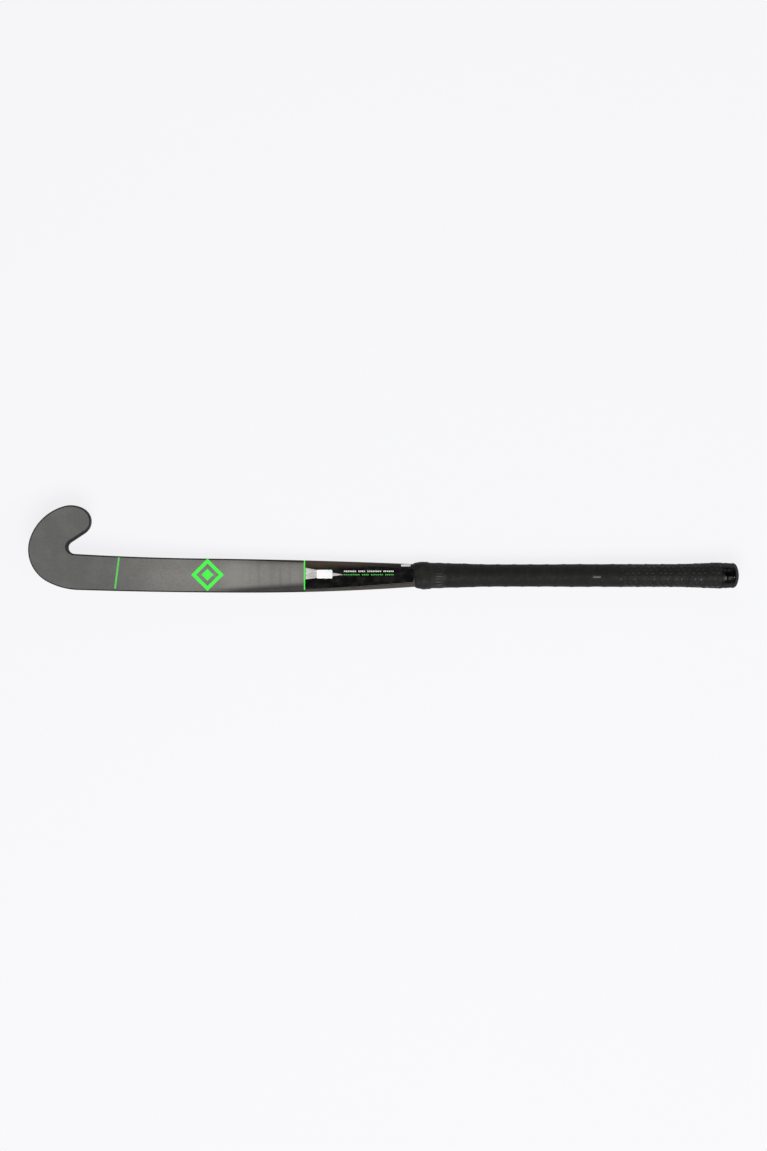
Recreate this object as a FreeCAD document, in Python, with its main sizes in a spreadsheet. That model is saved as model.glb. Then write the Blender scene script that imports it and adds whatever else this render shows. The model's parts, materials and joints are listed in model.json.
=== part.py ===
"""Field hockey stick: a hollow composite J-stick with foam and twin-tube core, wrapped grip and end cap.

The stick is drawn in its own design frame: x runs from the outer curve of the head (near 0) to the butt,
y points from the handle axis towards the toe, and z is the normal of the flat playing side at the
handle, with the handle axis on y = z = 0. Every sub-part then gets one common Placement that lays the
stick on its back, playing side up, with the origin under the middle of its bounding box.

Every surface of the stick is one of a family of parallel surfaces, so each building function takes
`level`, the alias of a cell that holds how far inside the laminate's outer surface the solid ends.
Levels above that surface are negative.
"""
import FreeCAD, Part
import math
import os
import Sketcher
from FreeCAD import Placement, Rotation, Vector

DIMENSIONS = {
    # stations along the stick
    "butt_end": 927.0,
    "belly_station": 290.8,
    "bend_end": 430.0,
    "neck_station": 502.0,
    "collar_step": 523.0,
    "handle_start": 545.0,
    "core_split": 138.0,
    "straight_start": 612.0,
    "grip_change": 772.0,
    "straight_end": 830.0,
    "cap_start": 904.7,
    "tube_end": 912.0,
    # plan of the head: tangent arcs from the belly round the heel and toe into the notch
    "belly_drop": 22.5,
    "sole_radius": 7000.0,
    "sole_turn": 1.84,
    "heel_radius": 88.46,
    "heel_turn": 26.56,
    "outer_curve_radius": 47.54,
    "outer_curve_turn": 79.81,
    "crown_radius": 64.7,
    "crown_turn": 56.0,
    "toe_shoulder_radius": 31.29,
    "toe_shoulder_turn": 49.03,
    "toe_tip_radius": 19.0,
    "toe_tip_turn": 112.8,
    "toe_flank_length": 21.1,
    "notch_radius": 8.15,
    "notch_turn": 142.7,
    "throat_radius": 3655.0,
    "throat_turn": 2.7,
    "neck_half_width": 15.0,
    # side profile: flat head, one long bow, straight handle
    "head_tilt": 8.5,
    "head_thickness": 21.0,
    "bow_radius": 2165.0,
    "back_bow_radius": 2182.0,
    "half_thickness": 12.4,
    "profile_margin": 12.0,
    # edge rounding of the laminate
    "back_rounding": 10.0,
    "face_rounding": 2.5,
    "face_rounding_neck": 7.0,
    # round handle
    "handle_start_radius": 14.1,
    "neck_step": 0.15,
    "handle_start_rounding": 13.9,
    "handle_radius": 12.6,
    "butt_radius": 14.8,
    # levels, measured inwards from the laminate's outer surface
    "surface": 0.0,
    "skin": 2.2,
    "tube_bore": 3.4,
    "adhesive": -0.3,
    "grip_surface": -2.1,
    "collar_band": -2.25,
    "collar_bulge": -2.75,
    "film": -0.12,
    "label_film": -0.3,
    "grip_mark": -2.45,
    # inner tubes and handle core
    "web_half": 1.2,
    "tube_run_end": 498.0,
    "foam_start": 560.0,
    "foam_end": 880.0,
    # end cap
    "cap_radius": 16.1,
    "cap_shoulder": 918.0,
    "cap_shoulder_radius": 6.0,
    "cap_groove_station": 917.0,
    "cap_groove_depth": 0.7,
    "spigot_start": 884.0,
    "spigot_radius": 10.8,
    # printed films on the playing side
    "lower_stripe_station": 116.2,
    "lower_stripe_lean": 7.1,
    "lower_stripe_width": 2.3,
    "lower_stripe_length": 40.8,
    "lower_stripe_centre": 3.4,
    "upper_stripe_station": 359.7,
    "upper_stripe_width": 1.6,
    "upper_stripe_length": 38.6,
    "upper_stripe_centre": 0.7,
    "emblem_station": 233.2,
    "emblem_centre": 1.0,
    "emblem_side": 30.0,
    "emblem_band": 4.6,
    "emblem_core": 11.0,
    "fan_start": 361.0,
    "fan_tip": 411.2,
    "fan_upper": 10.1,
    "fan_lower": -5.0,
    "fan_tip_height": 1.0,
    "label_station": 375.8,
    "label_length": 20.3,
    "label_width": 11.3,
    "label_centre": 1.8,
    "label_corner": 1.2,
    "white_mark_height": 1.8,
    "green_mark_height": 1.3,
    "mark_fill": 0.7,
    "white_mark_row": 5.5,
    "green_mark_row": 1.0,
    "mark_start": 411.5,
    "mark_end": 477.0,
    "edge_mark_row": 13.4,
    "edge_mark_width": 3.0,
    "edge_mark_start": 486.0,
    "edge_mark_end": 498.5,
    # raised bar on the grip tape
    "grip_mark_start": 736.4,
    "grip_mark_end": 746.6,
    "grip_mark_row": -2.0,
    "grip_mark_width": 2.7,
    # floors of the cutting blocks, between the back and the playing side
    "lower_stripe_floor": 26.0,
    "emblem_floor": 6.0,
    # lie: the stick rests on its back, tipped until the collar touches as well
    "rest_pitch": -1.9,
    "rest_shift_x": -463.35,
    "rest_shift_y": -34.6,
    "rest_shift_z": -1.48,
}

# bars in each group of the two printed rows
WHITE_GROUPS = (7, 4, 8, 6)
GREEN_GROUPS = (9, 4, 7, 5)

STRAIGHT_PLAN = Placement()
SIDE_PLAN = Placement(Vector(), Rotation(Vector(1, 0, 0), 90))
CROSS_PLAN = Placement(Vector(), Rotation(Vector(1, 1, 1), 120))
EDGE_START, EDGE_END, CENTRE = 1, 2, 3
ORIGIN = (-1, 1)
UP = Vector(0, 0, 1)

doc = FreeCAD.newDocument("field_hockey_stick")


def fill_sheet():
    sheet = doc.addObject("Spreadsheet::Sheet", "Sizes")
    for row, (alias, value) in enumerate(DIMENSIONS.items(), start=1):
        sheet.set(f"A{row}", alias)
        sheet.set(f"B{row}", str(value))
        sheet.setAlias(f"B{row}", alias)
    doc.recompute()
    return sheet


def size(alias):
    """The number that the sheet holds for this alias."""
    return float(sheet.get(alias))


sheet = fill_sheet()


# ---------------------------------------------------------------- sketch tools

def new_sketch(name, placement):
    sketch = doc.addObject("Sketcher::SketchObject", name)
    sketch.Placement = placement
    return sketch


def bind(sketch, kind, parts, expression, value):
    """A dimension of the sketch that follows the sheet."""
    index = sketch.addConstraint(Sketcher.Constraint(kind, *parts, value))
    sketch.setExpression(f"Constraints[{index}]", expression)


def pin(sketch, edge, end, across, up):
    """Hold an edge's end at (across, up), each an (expression, value) pair."""
    bind(sketch, "DistanceX", (*ORIGIN, edge, end), *across)
    bind(sketch, "DistanceY", (*ORIGIN, edge, end), *up)


def cell(alias):
    return f"Sizes.{alias}", size(alias)


def inside(alias, level, side=-1):
    """A cell's size made smaller (side -1) or larger (side +1) by a level or another cell's size."""
    sign = "-" if side < 0 else "+"
    return f"Sizes.{alias} {sign} Sizes.{level}", size(alias) + side * size(level)


def below(alias, level):
    """The same distance as inside(), measured downwards from the axis."""
    expression, value = inside(alias, level)
    return f"-({expression})", -value


def heading_vector(heading):
    return Vector(math.cos(heading), math.sin(heading), 0)


def turning_arc(start, heading, radius, turn):
    """Arc that leaves `start` on `heading`; a positive turn is anticlockwise.

    Returns the arc, its far end, its final heading and which of its ends is the start.
    """
    side = 1 if turn > 0 else -1
    centre = start + heading_vector(heading + side * math.pi / 2) * radius
    first = heading - side * math.pi / 2
    last = first + turn
    circle = Part.Circle(centre, UP, radius)
    arc = Part.ArcOfCircle(circle, min(first, last), max(first, last))
    far = centre + heading_vector(last) * radius
    return arc, far, heading + turn, (EDGE_START if side > 0 else EDGE_END)


def arc_to(start, heading, goal):
    """Radius and turn of the arc that leaves `start` on `heading` and ends at `goal`."""
    chord = goal - start
    half_turn = math.atan2(chord.y, chord.x) - heading
    half_turn = math.atan2(math.sin(half_turn), math.cos(half_turn))
    return chord.Length / (2 * abs(math.sin(half_turn))), 2 * half_turn


def other(end):
    return EDGE_END if end == EDGE_START else EDGE_START


# ---------------------------------------------------------------- laminate body, head to neck

def plan_outline(name, level):
    """J-shaped plan: belly, sole, heel, crown, toe, notch and throat, closed at the neck."""
    sketch = new_sketch(name, STRAIGHT_PLAN)
    station, drop = cell("belly_station"), below("belly_drop", level)
    belly = Vector(station[1], drop[1], 0)
    point, heading = belly, math.pi
    previous = None
    chain = (("sole", -1), ("heel", -1), ("outer_curve", -1), ("crown", -1), ("toe_shoulder", -1),
             ("toe_tip", -1), ("toe_flank", 0), ("notch", 1), ("throat", 1))
    for stem, side in chain:
        if side == 0:
            length = cell(f"{stem}_length")
            far = point + heading_vector(heading) * length[1]
            edge = sketch.addGeometry(Part.LineSegment(point, far))
            near_end = EDGE_START
            bind(sketch, "Distance", (edge,), *length)
        else:
            radius = inside(f"{stem}_radius", level, side)
            turn = cell(f"{stem}_turn")
            arc, far, heading, near_end = turning_arc(point, heading, radius[1], side * math.radians(turn[1]))
            edge = sketch.addGeometry(arc)
            bind(sketch, "Radius", (edge,), *radius)
            index = sketch.addConstraint(Sketcher.Constraint("Angle", edge, math.radians(turn[1])))
            sketch.setExpression(f"Constraints[{index}]", turn[0])
        if previous is None:
            pin(sketch, edge, near_end, station, drop)
            bind(sketch, "DistanceX", (*ORIGIN, edge, CENTRE), *station)
            first = (edge, near_end)
        else:
            sketch.addConstraint(Sketcher.Constraint("Tangent", *previous, edge, near_end))
        previous = (edge, other(near_end))
        point = far

    neck = cell("neck_station")
    upper = inside("neck_half_width", level)
    lower = below("neck_half_width", level)
    upper_corner = Vector(neck[1], upper[1], 0)
    lower_corner = Vector(neck[1], lower[1], 0)
    arc, _, _, near_end = turning_arc(point, heading, *arc_to(point, heading, upper_corner))
    upper_edge = sketch.addGeometry(arc)
    sketch.addConstraint(Sketcher.Constraint("Tangent", *previous, upper_edge, near_end))
    pin(sketch, upper_edge, other(near_end), neck, upper)

    arc, _, _, belly_end = turning_arc(belly, 0.0, *arc_to(belly, 0.0, lower_corner))
    lower_edge = sketch.addGeometry(arc)
    sketch.addConstraint(Sketcher.Constraint("Tangent", *first, lower_edge, belly_end))
    pin(sketch, lower_edge, other(belly_end), neck, lower)

    neck_edge = sketch.addGeometry(Part.LineSegment(upper_corner, lower_corner))
    for edge, end, neck_end in ((upper_edge, other(near_end), EDGE_START),
                                (lower_edge, other(belly_end), EDGE_END)):
        sketch.addConstraint(Sketcher.Constraint("Coincident", edge, end, neck_edge, neck_end))
    return sketch


def side_outline(name, level):
    """Side view: flat head, bowed shaft and straight neck, with the playing side on top."""
    sketch = new_sketch(name, SIDE_PLAN)
    neck, bend_end = cell("neck_station"), cell("bend_end")
    top, bottom = inside("half_thickness", level), below("half_thickness", level)
    tilt = math.radians(size("head_tilt"))
    margin = ("-Sizes.profile_margin", -size("profile_margin"))
    face_radius = inside("bow_radius", level, 1)
    back_radius = inside("back_bow_radius", level)
    depth = (f"Sizes.head_thickness - 2 * Sizes.{level}", size("head_thickness") - 2 * size(level))

    face_neck = Vector(neck[1], top[1], 0)
    face_bend = Vector(bend_end[1], top[1], 0)
    face_arc, face_head, heading, face_near = turning_arc(face_bend, math.pi, face_radius[1], -tilt)
    along = heading_vector(heading)
    face_tip = face_head + along * ((margin[1] - face_head.x) / along.x)
    back_tip = face_tip - Vector(along.y, -along.x, 0) * depth[1]
    back_neck = Vector(neck[1], bottom[1], 0)
    corner = back_tip + along * ((bottom[1] - back_tip.y) / along.y)
    run = back_radius[1] * math.tan(tilt / 2)
    back_head = corner + along * run
    back_arc, back_bend, _, back_near = turning_arc(back_head, -tilt, back_radius[1], tilt)

    face_line = sketch.addGeometry(Part.LineSegment(face_neck, face_bend))
    face_bow = sketch.addGeometry(face_arc)
    head_face = sketch.addGeometry(Part.LineSegment(face_head, face_tip))
    tip = sketch.addGeometry(Part.LineSegment(face_tip, back_tip))
    head_back = sketch.addGeometry(Part.LineSegment(back_tip, back_head))
    back_bow = sketch.addGeometry(back_arc)
    back_line = sketch.addGeometry(Part.LineSegment(back_bend, back_neck))
    neck_line = sketch.addGeometry(Part.LineSegment(back_neck, face_neck))

    for first, second in ((head_face, tip), (tip, head_back), (back_line, neck_line)):
        sketch.addConstraint(Sketcher.Constraint("Coincident", first, EDGE_END, second, EDGE_START))
    sketch.addConstraint(Sketcher.Constraint("Coincident", neck_line, EDGE_END, face_line, EDGE_START))
    for first, first_end, second, second_end in (
            (face_line, EDGE_END, face_bow, face_near),
            (face_bow, other(face_near), head_face, EDGE_START),
            (head_back, EDGE_END, back_bow, back_near),
            (back_bow, other(back_near), back_line, EDGE_START)):
        sketch.addConstraint(Sketcher.Constraint("Tangent", first, first_end, second, second_end))
    for first, second in ((head_face, tip), (tip, head_back)):
        sketch.addConstraint(Sketcher.Constraint("Perpendicular", first, second))
    for line in (face_line, back_line):
        sketch.addConstraint(Sketcher.Constraint("Horizontal", line))
    pin(sketch, face_line, EDGE_START, neck, top)
    pin(sketch, back_line, EDGE_END, neck, bottom)
    bind(sketch, "DistanceX", (*ORIGIN, face_line, EDGE_END), *bend_end)
    bind(sketch, "DistanceX", (*ORIGIN, head_face, EDGE_END), *margin)
    bind(sketch, "Radius", (face_bow,), *face_radius)
    bind(sketch, "Radius", (back_bow,), *back_radius)
    bind(sketch, "Distance", (tip,), *depth)
    index = sketch.addConstraint(Sketcher.Constraint("Angle", face_bow, tilt))
    sketch.setExpression(f"Constraints[{index}]", "Sizes.head_tilt")
    return sketch


def extruded(sketch, name, direction, forward, backward):
    solid = doc.addObject("Part::Extrusion", name)
    solid.Base = sketch
    solid.DirMode = "Custom"
    solid.Dir = direction
    solid.LengthFwd = forward
    solid.LengthRev = backward
    solid.Solid = True
    return solid


def side_slab(name, level):
    """The side view pushed through the whole width of the head."""
    return extruded(side_outline(f"{name}_side", level), f"{name}_slab", Vector(0, 1, 0), 120, 60)


def common(name, *solids):
    result = doc.addObject("Part::MultiCommon", name)
    result.Shapes = list(solids)
    return result


def fused(name, *solids):
    result = doc.addObject("Part::MultiFuse", name)
    result.Shapes = list(solids)
    return result


def cut(name, base, tool):
    result = doc.addObject("Part::Cut", name)
    result.Base = base
    result.Tool = tool
    return result


def rim_edges(solid):
    """Numbers of the edges where the playing side, and the back, meet the upright walls."""
    face_edges, back_edges = [], []
    upright, level_face = 0.3, 0.9
    for number, edge in enumerate(solid.Edges, start=1):
        slopes = []
        for face in solid.Faces:
            if any(edge.isSame(side) for side in face.Edges):
                u_first, u_last, v_first, v_last = face.ParameterRange
                slopes.append(face.normalAt((u_first + u_last) / 2, (v_first + v_last) / 2))
        steep = min(abs(normal.z) for normal in slopes)
        flat = max(slopes, key=lambda normal: abs(normal.z))
        at_neck = any(abs(normal.x) > 0.9 and abs(normal.y) < 0.01 and abs(normal.z) < 0.01
                      for normal in slopes)
        if steep < upright and abs(flat.z) > level_face and not at_neck:
            (face_edges if flat.z > 0 else back_edges).append(number)
    return face_edges, back_edges


def face_radius_at(station, level):
    """Rounding of the playing side's edge: small along the head, growing towards the neck."""
    start, end = size("belly_station"), size("neck_station")
    share = min(max((station - start) / (end - start), 0), 1)
    return size("face_rounding") + share * (size("face_rounding_neck") - size("face_rounding")) - level


def blade(name, level):
    """Head and shaft up to the neck: the plan and the side view crossed, with rounded rims."""
    plan = extruded(plan_outline(f"{name}_plan", level), f"{name}_prism", UP, 90, 40)
    crossed = common(f"{name}_crossed", plan, side_slab(name, level))
    doc.recompute()
    solid = crossed.Shape
    face_edges, back_edges = rim_edges(solid)
    depth = size(level)
    rounding = []
    for number in face_edges:
        edge = solid.Edges[number - 1]
        ends = [face_radius_at(edge.valueAt(at).x, depth) for at in (edge.FirstParameter, edge.LastParameter)]
        rounding.append((number, max(ends[0], 0.4), max(ends[1], 0.4)))
    back = size("back_rounding") - depth
    rounding += [(number, back, back) for number in back_edges]
    result = doc.addObject("Part::Fillet", name)
    result.Base = crossed
    result.Edges = rounding
    return result


# ---------------------------------------------------------------- neck and handle

def rounded_section(name, station, half_width, half_height, face_round, back_round):
    """Cross-section of the neck: a rectangle with one rounding above and another below."""
    placement = Placement(Vector(station[1], 0, 0), CROSS_PLAN.Rotation)
    sketch = new_sketch(name, placement)
    sketch.setExpression("Placement.Base.x", station[0])
    wide, high = half_width[1], half_height[1]
    corners = ((Vector(-wide, -high, 0), back_round), (Vector(wide, -high, 0), back_round),
               (Vector(wide, high, 0), face_round), (Vector(-wide, high, 0), face_round))
    arcs = []
    for index, (corner, rounding) in enumerate(corners):
        radius = rounding[1]
        centre = corner - Vector(math.copysign(radius, corner.x), math.copysign(radius, corner.y), 0)
        first = math.pi + index * math.pi / 2
        arc = Part.ArcOfCircle(Part.Circle(centre, UP, radius), first, first + math.pi / 2)
        arcs.append(sketch.addGeometry(arc))
        bind(sketch, "Radius", (arcs[-1],), *rounding)
    for index, arc in enumerate(arcs):
        following = arcs[(index + 1) % len(arcs)]
        start, end = sketch.getPoint(arc, EDGE_END), sketch.getPoint(following, EDGE_START)
        line = sketch.addGeometry(Part.LineSegment(start, end))
        sketch.addConstraint(Sketcher.Constraint("Tangent", arc, EDGE_END, line, EDGE_START))
        sketch.addConstraint(Sketcher.Constraint("Tangent", line, EDGE_END, following, EDGE_START))
        direction = "Horizontal" if index % 2 == 0 else "Vertical"
        sketch.addConstraint(Sketcher.Constraint(direction, line))
        if index % 2 == 0:
            side = -1 if index == 0 else 1
            height = (half_height[0] if side > 0 else f"-({half_height[0]})", side * high)
            bind(sketch, "DistanceY", (*ORIGIN, line, EDGE_START), *height)
        else:
            side = 1 if index == 1 else -1
            width = (half_width[0] if side > 0 else f"-({half_width[0]})", side * wide)
            bind(sketch, "DistanceX", (*ORIGIN, line, EDGE_START), *width)
    return sketch


def stepped(alias, level):
    """A size at this level, less the small step that keeps the neck inside the solids that it joins."""
    expression, value = inside(alias, level)
    return f"{expression} - Sizes.neck_step", value - size("neck_step")


def neck(name, level):
    """Blend from the shaft's rounded rectangle to the round handle."""
    shaft_end = rounded_section(f"{name}_shaft_end", cell("neck_station"), stepped("neck_half_width", level),
                                stepped("half_thickness", level), stepped("face_rounding_neck", level),
                                stepped("back_rounding", level))
    radius = stepped("handle_start_radius", level)
    rounding = stepped("handle_start_rounding", level)
    handle_end = rounded_section(f"{name}_handle_end", cell("handle_start"), radius, radius,
                                 rounding, rounding)
    solid = doc.addObject("Part::Loft", name)
    solid.Sections = [shaft_end, handle_end]
    solid.Solid = True
    return solid


def handle(name, level, overrun=0):
    """Round handle: waisted after the neck, straight in the hand, flared at the butt."""
    sketch = new_sketch(f"{name}_profile", SIDE_PLAN)
    overrun_end = (f"Sizes.tube_end + {overrun}", size("tube_end") + overrun)
    stations = [cell("handle_start"), cell("straight_start"), cell("straight_end"), cell("cap_start"),
                overrun_end]
    waist = inside("handle_radius", level)
    butt = inside("butt_radius", level)
    radii = [inside("handle_start_radius", level), waist, waist, butt, butt]
    points = [Vector(station[1], radius[1], 0) for station, radius in zip(stations, radii)]

    curve = arc_to(points[1], math.pi, points[0])
    arc, _, _, near_end = turning_arc(points[1], math.pi, *curve)
    waist_arc, waist_near = sketch.addGeometry(arc), near_end
    curve = arc_to(points[2], 0.0, points[3])
    arc, _, _, near_end = turning_arc(points[2], 0.0, *curve)
    flare_arc, flare_near = sketch.addGeometry(arc), near_end
    grip_line = sketch.addGeometry(Part.LineSegment(points[1], points[2]))
    butt_line = sketch.addGeometry(Part.LineSegment(points[3], points[4]))
    end_line = sketch.addGeometry(Part.LineSegment(points[4], Vector(points[4].x, 0, 0)))
    axis_line = sketch.addGeometry(Part.LineSegment(Vector(points[4].x, 0, 0), Vector(points[0].x, 0, 0)))
    start_line = sketch.addGeometry(Part.LineSegment(Vector(points[0].x, 0, 0), points[0]))

    sketch.addConstraint(Sketcher.Constraint("Tangent", waist_arc, waist_near, grip_line, EDGE_START))
    sketch.addConstraint(Sketcher.Constraint("Tangent", flare_arc, flare_near, grip_line, EDGE_END))
    for first, first_end, second, second_end in (
            (flare_arc, other(flare_near), butt_line, EDGE_START),
            (butt_line, EDGE_END, end_line, EDGE_START),
            (end_line, EDGE_END, axis_line, EDGE_START),
            (axis_line, EDGE_END, start_line, EDGE_START),
            (start_line, EDGE_END, waist_arc, other(waist_near))):
        sketch.addConstraint(Sketcher.Constraint("Coincident", first, first_end, second, second_end))
    for line in (grip_line, butt_line):
        sketch.addConstraint(Sketcher.Constraint("Horizontal", line))
    for line in (end_line, start_line):
        sketch.addConstraint(Sketcher.Constraint("Vertical", line))
    sketch.addConstraint(Sketcher.Constraint("PointOnObject", axis_line, EDGE_START, -1))
    sketch.addConstraint(Sketcher.Constraint("PointOnObject", axis_line, EDGE_END, -1))
    pin(sketch, start_line, EDGE_END, stations[0], radii[0])
    pin(sketch, grip_line, EDGE_START, stations[1], radii[1])
    pin(sketch, butt_line, EDGE_START, stations[3], radii[3])
    bind(sketch, "DistanceX", (*ORIGIN, grip_line, EDGE_END), *stations[2])
    bind(sketch, "DistanceX", (*ORIGIN, butt_line, EDGE_END), *stations[4])

    solid = doc.addObject("Part::Revolution", name)
    solid.Source = sketch
    solid.Axis = Vector(1, 0, 0)
    solid.Angle = 360
    solid.Solid = True
    return solid


def stretch(name, solid, first, last, lowest=None, highest=None):
    """The part of a solid between two stations, and between two heights across if given."""
    reach = 130
    slab = doc.addObject("Part::Box", f"{name}_slab")
    slab.Length = 1
    slab.setExpression("Length", f"{last} - {first}")
    slab.setExpression("Placement.Base.x", first)
    slab.setExpression("Placement.Base.y", lowest or f"-{reach}")
    slab.setExpression("Width", f"({highest or reach}) - ({lowest or -reach})")
    slab.setExpression("Placement.Base.z", f"-{reach}")
    slab.Height = 2 * reach
    return common(name, solid, slab)


# ---------------------------------------------------------------- laminate shell and its core

def whole_stick(name, level, overrun=0):
    return fused(name, blade(f"{name}_blade", level), neck(f"{name}_neck", level),
                 handle(f"{name}_handle", level, overrun))


def make_shell_and_core():
    """Hollow laminate, foam in the head, two pressed inner tubes with a central web, foam in the handle."""
    outside = whole_stick("outside", "surface")
    cavity = whole_stick("cavity", "skin", overrun=5)
    carbon_shell = cut("carbon_shell", outside, cavity)
    split, run_end = "Sizes.core_split", "Sizes.tube_run_end"
    head_core = stretch("head_foam_core", cavity, "-Sizes.profile_margin", split)
    bore = blade("tube_bore_blade", "tube_bore")
    wall = "(Sizes.tube_bore - Sizes.skin)"
    sides = (("toe_side_tube", "0", "100", "Sizes.web_half", "100"),
             ("heel_side_tube", "-100", "0", "-100", "-Sizes.web_half"))
    tubes = []
    for name, lowest, highest, bore_lowest, bore_highest in sides:
        blank = stretch(f"{name}_blank", cavity, split, run_end, lowest, highest)
        hollow = stretch(f"{name}_bore", bore, f"{split} + {wall}", f"{run_end} - {wall}",
                         bore_lowest, bore_highest)
        tubes.append(cut(name, blank, hollow))
    handle_core = stretch("handle_foam_core", cavity, "Sizes.foam_start", "Sizes.foam_end")
    return [carbon_shell, head_core, *tubes, handle_core]


# ---------------------------------------------------------------- grip and end cap

def make_grip():
    """Adhesive layer, two lengths of wrapped grip tape with a raised bar, and the neck's finishing tape."""
    tube = handle("grip_tube", "surface")
    glue = handle("grip_glue", "adhesive")
    tape = handle("grip_tape", "grip_surface")
    start, change, end = "Sizes.handle_start", "Sizes.grip_change", "Sizes.cap_start"
    adhesive = stretch("grip_adhesive_layer", cut("adhesive_tube", glue, tube), start, end)
    wrapped = cut("wrapped_tube", tape, glue)
    smooth = stretch("smooth_grip_tape", wrapped, start, change)
    dimpled = stretch("dimpled_grip_tape", wrapped, change, end)
    raised = cut("grip_mark_ring", handle("grip_mark_tube", "grip_mark"), tape)
    mark = common("grip_print_bar", raised, bar_block("grip_mark"))

    bulge = stretch("collar_bulge_ring", neck("collar_bulge_neck", "collar_bulge"),
                    "Sizes.neck_station", "Sizes.collar_step")
    band = stretch("collar_band_ring", neck("collar_band_neck", "collar_band"), "Sizes.collar_step", start)
    collar = cut("collar_tape", fused("collar_blank", bulge, band), neck("collar_bore", "surface"))
    return [collar, adhesive, smooth, dimpled, mark]


def make_cap():
    """Moulded end cap: a spigot inside the tube, a skirt over it with one groove, and a domed end."""
    body = doc.addObject("PartDesign::Body", "butt_cap")
    sketch = body.newObject("Sketcher::SketchObject", "butt_cap_profile")
    side_plane = next(item for item in body.Origin.OriginFeatures if item.Role == "XZ_Plane")
    sketch.AttachmentSupport = (side_plane, [""])
    sketch.MapMode = "FlatFace"
    doc.recompute()

    zero = ("0", 0.0)
    spigot, radius, tube = cell("spigot_radius"), cell("cap_radius"), cell("butt_radius")
    groove_floor = inside("cap_radius", "cap_groove_depth")
    groove_left = inside("cap_groove_station", "cap_groove_depth")
    groove_right = inside("cap_groove_station", "cap_groove_depth", 1)
    corners = [(cell("spigot_start"), zero), (cell("spigot_start"), spigot), (cell("tube_end"), spigot),
               (cell("tube_end"), tube), (cell("cap_start"), tube), (cell("cap_start"), radius),
               (groove_left, radius), (cell("cap_groove_station"), groove_floor), (groove_right, radius),
               (cell("cap_shoulder"), radius)]
    points = [Vector(across[1], up[1], 0) for across, up in corners]
    for index in range(len(points) - 1):
        line = sketch.addGeometry(Part.LineSegment(points[index], points[index + 1]))
        pin(sketch, line, EDGE_START, *corners[index])
        if line:
            sketch.addConstraint(Sketcher.Constraint("Coincident", line - 1, EDGE_END, line, EDGE_START))
    pin(sketch, line, EDGE_END, *corners[-1])

    end, small = cell("butt_end"), cell("cap_shoulder_radius")
    depth, high = end[1] - points[-1].x, radius[1]
    crown_radius = (depth ** 2 + high ** 2 - 2 * high * small[1]) / (2 * (depth - small[1]))
    shoulder_centre = Vector(points[-1].x, high - small[1], 0)
    crown_centre = Vector(end[1] - crown_radius, 0, 0)
    lean = math.atan2(shoulder_centre.y, shoulder_centre.x - crown_centre.x)
    shoulder_circle = Part.Circle(shoulder_centre, UP, small[1])
    crown_circle = Part.Circle(crown_centre, UP, crown_radius)
    shoulder = sketch.addGeometry(Part.ArcOfCircle(shoulder_circle, lean, math.pi / 2))
    crown = sketch.addGeometry(Part.ArcOfCircle(crown_circle, 0, lean))
    axis = sketch.addGeometry(Part.LineSegment(Vector(end[1], 0, 0), points[0]))
    sketch.addConstraint(Sketcher.Constraint("Tangent", line, EDGE_END, shoulder, EDGE_END))
    sketch.addConstraint(Sketcher.Constraint("Tangent", shoulder, EDGE_START, crown, EDGE_END))
    sketch.addConstraint(Sketcher.Constraint("Coincident", crown, EDGE_START, axis, EDGE_START))
    sketch.addConstraint(Sketcher.Constraint("Coincident", axis, EDGE_END, 0, EDGE_START))
    sketch.addConstraint(Sketcher.Constraint("PointOnObject", crown, CENTRE, -1))
    bind(sketch, "Radius", (shoulder,), *small)
    pin(sketch, crown, EDGE_START, end, zero)

    turned = body.newObject("PartDesign::Revolution", "butt_cap_turned")
    turned.Profile = sketch
    turned.ReferenceAxis = (sketch, ["H_Axis"])
    turned.Angle = 360
    body.Tip = turned
    return body


# ---------------------------------------------------------------- printed films

def film_band(name, level):
    """The skin of a printed film: everything between the playing side and a level above it."""
    return cut(name, side_slab(f"{name}_outer", level), side_slab(f"{name}_inner", "surface"))


def upright_block(name, length, width, corner_x, corner_y, floor="0", turn=0):
    """Tall block that cuts a print's outline out of a film; `turn` is its angle in plan, in degrees."""
    solid = doc.addObject("Part::Box", name)
    solid.Height = 80
    solid.setExpression("Length", length)
    solid.setExpression("Width", width)
    solid.Placement = Placement(Vector(), Rotation(UP, turn))
    solid.setExpression("Placement.Base.x", corner_x)
    solid.setExpression("Placement.Base.y", corner_y)
    solid.setExpression("Placement.Base.z", floor)
    return solid


def block(name, start, end, low, high):
    """Upright block between two stations and two distances across."""
    return upright_block(name, f"({end}) - ({start})", f"({high}) - ({low})", start, low)


def bar_block(mark):
    """Block round a short bar whose start, end, row and width stand in the sheet."""
    row, half = f"Sizes.{mark}_row", f"Sizes.{mark}_width / 2"
    return block(f"{mark}_block", f"Sizes.{mark}_start", f"Sizes.{mark}_end",
                 f"{row} - {half}", f"{row} + {half}")


def lower_stripe_block():
    """Narrow block right across the head, leaning towards the toe about its own middle."""
    half, lean = "Sizes.lower_stripe_length / 2", "(Sizes.lower_stripe_lean * 1deg)"
    return upright_block(
        "lower_stripe_block", "Sizes.lower_stripe_width", "Sizes.lower_stripe_length",
        f"Sizes.lower_stripe_station - Sizes.lower_stripe_width / 2 * cos({lean}) - {half} * sin({lean})",
        f"Sizes.lower_stripe_centre + Sizes.lower_stripe_width / 2 * sin({lean}) - {half} * cos({lean})",
        "Sizes.lower_stripe_floor", -size("lower_stripe_lean"))


def upper_stripe_block():
    half = "Sizes.upper_stripe_length / 2"
    return upright_block(
        "upper_stripe_block", "Sizes.upper_stripe_width", "Sizes.upper_stripe_length",
        "Sizes.upper_stripe_station - Sizes.upper_stripe_width / 2", f"Sizes.upper_stripe_centre - {half}")


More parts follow.
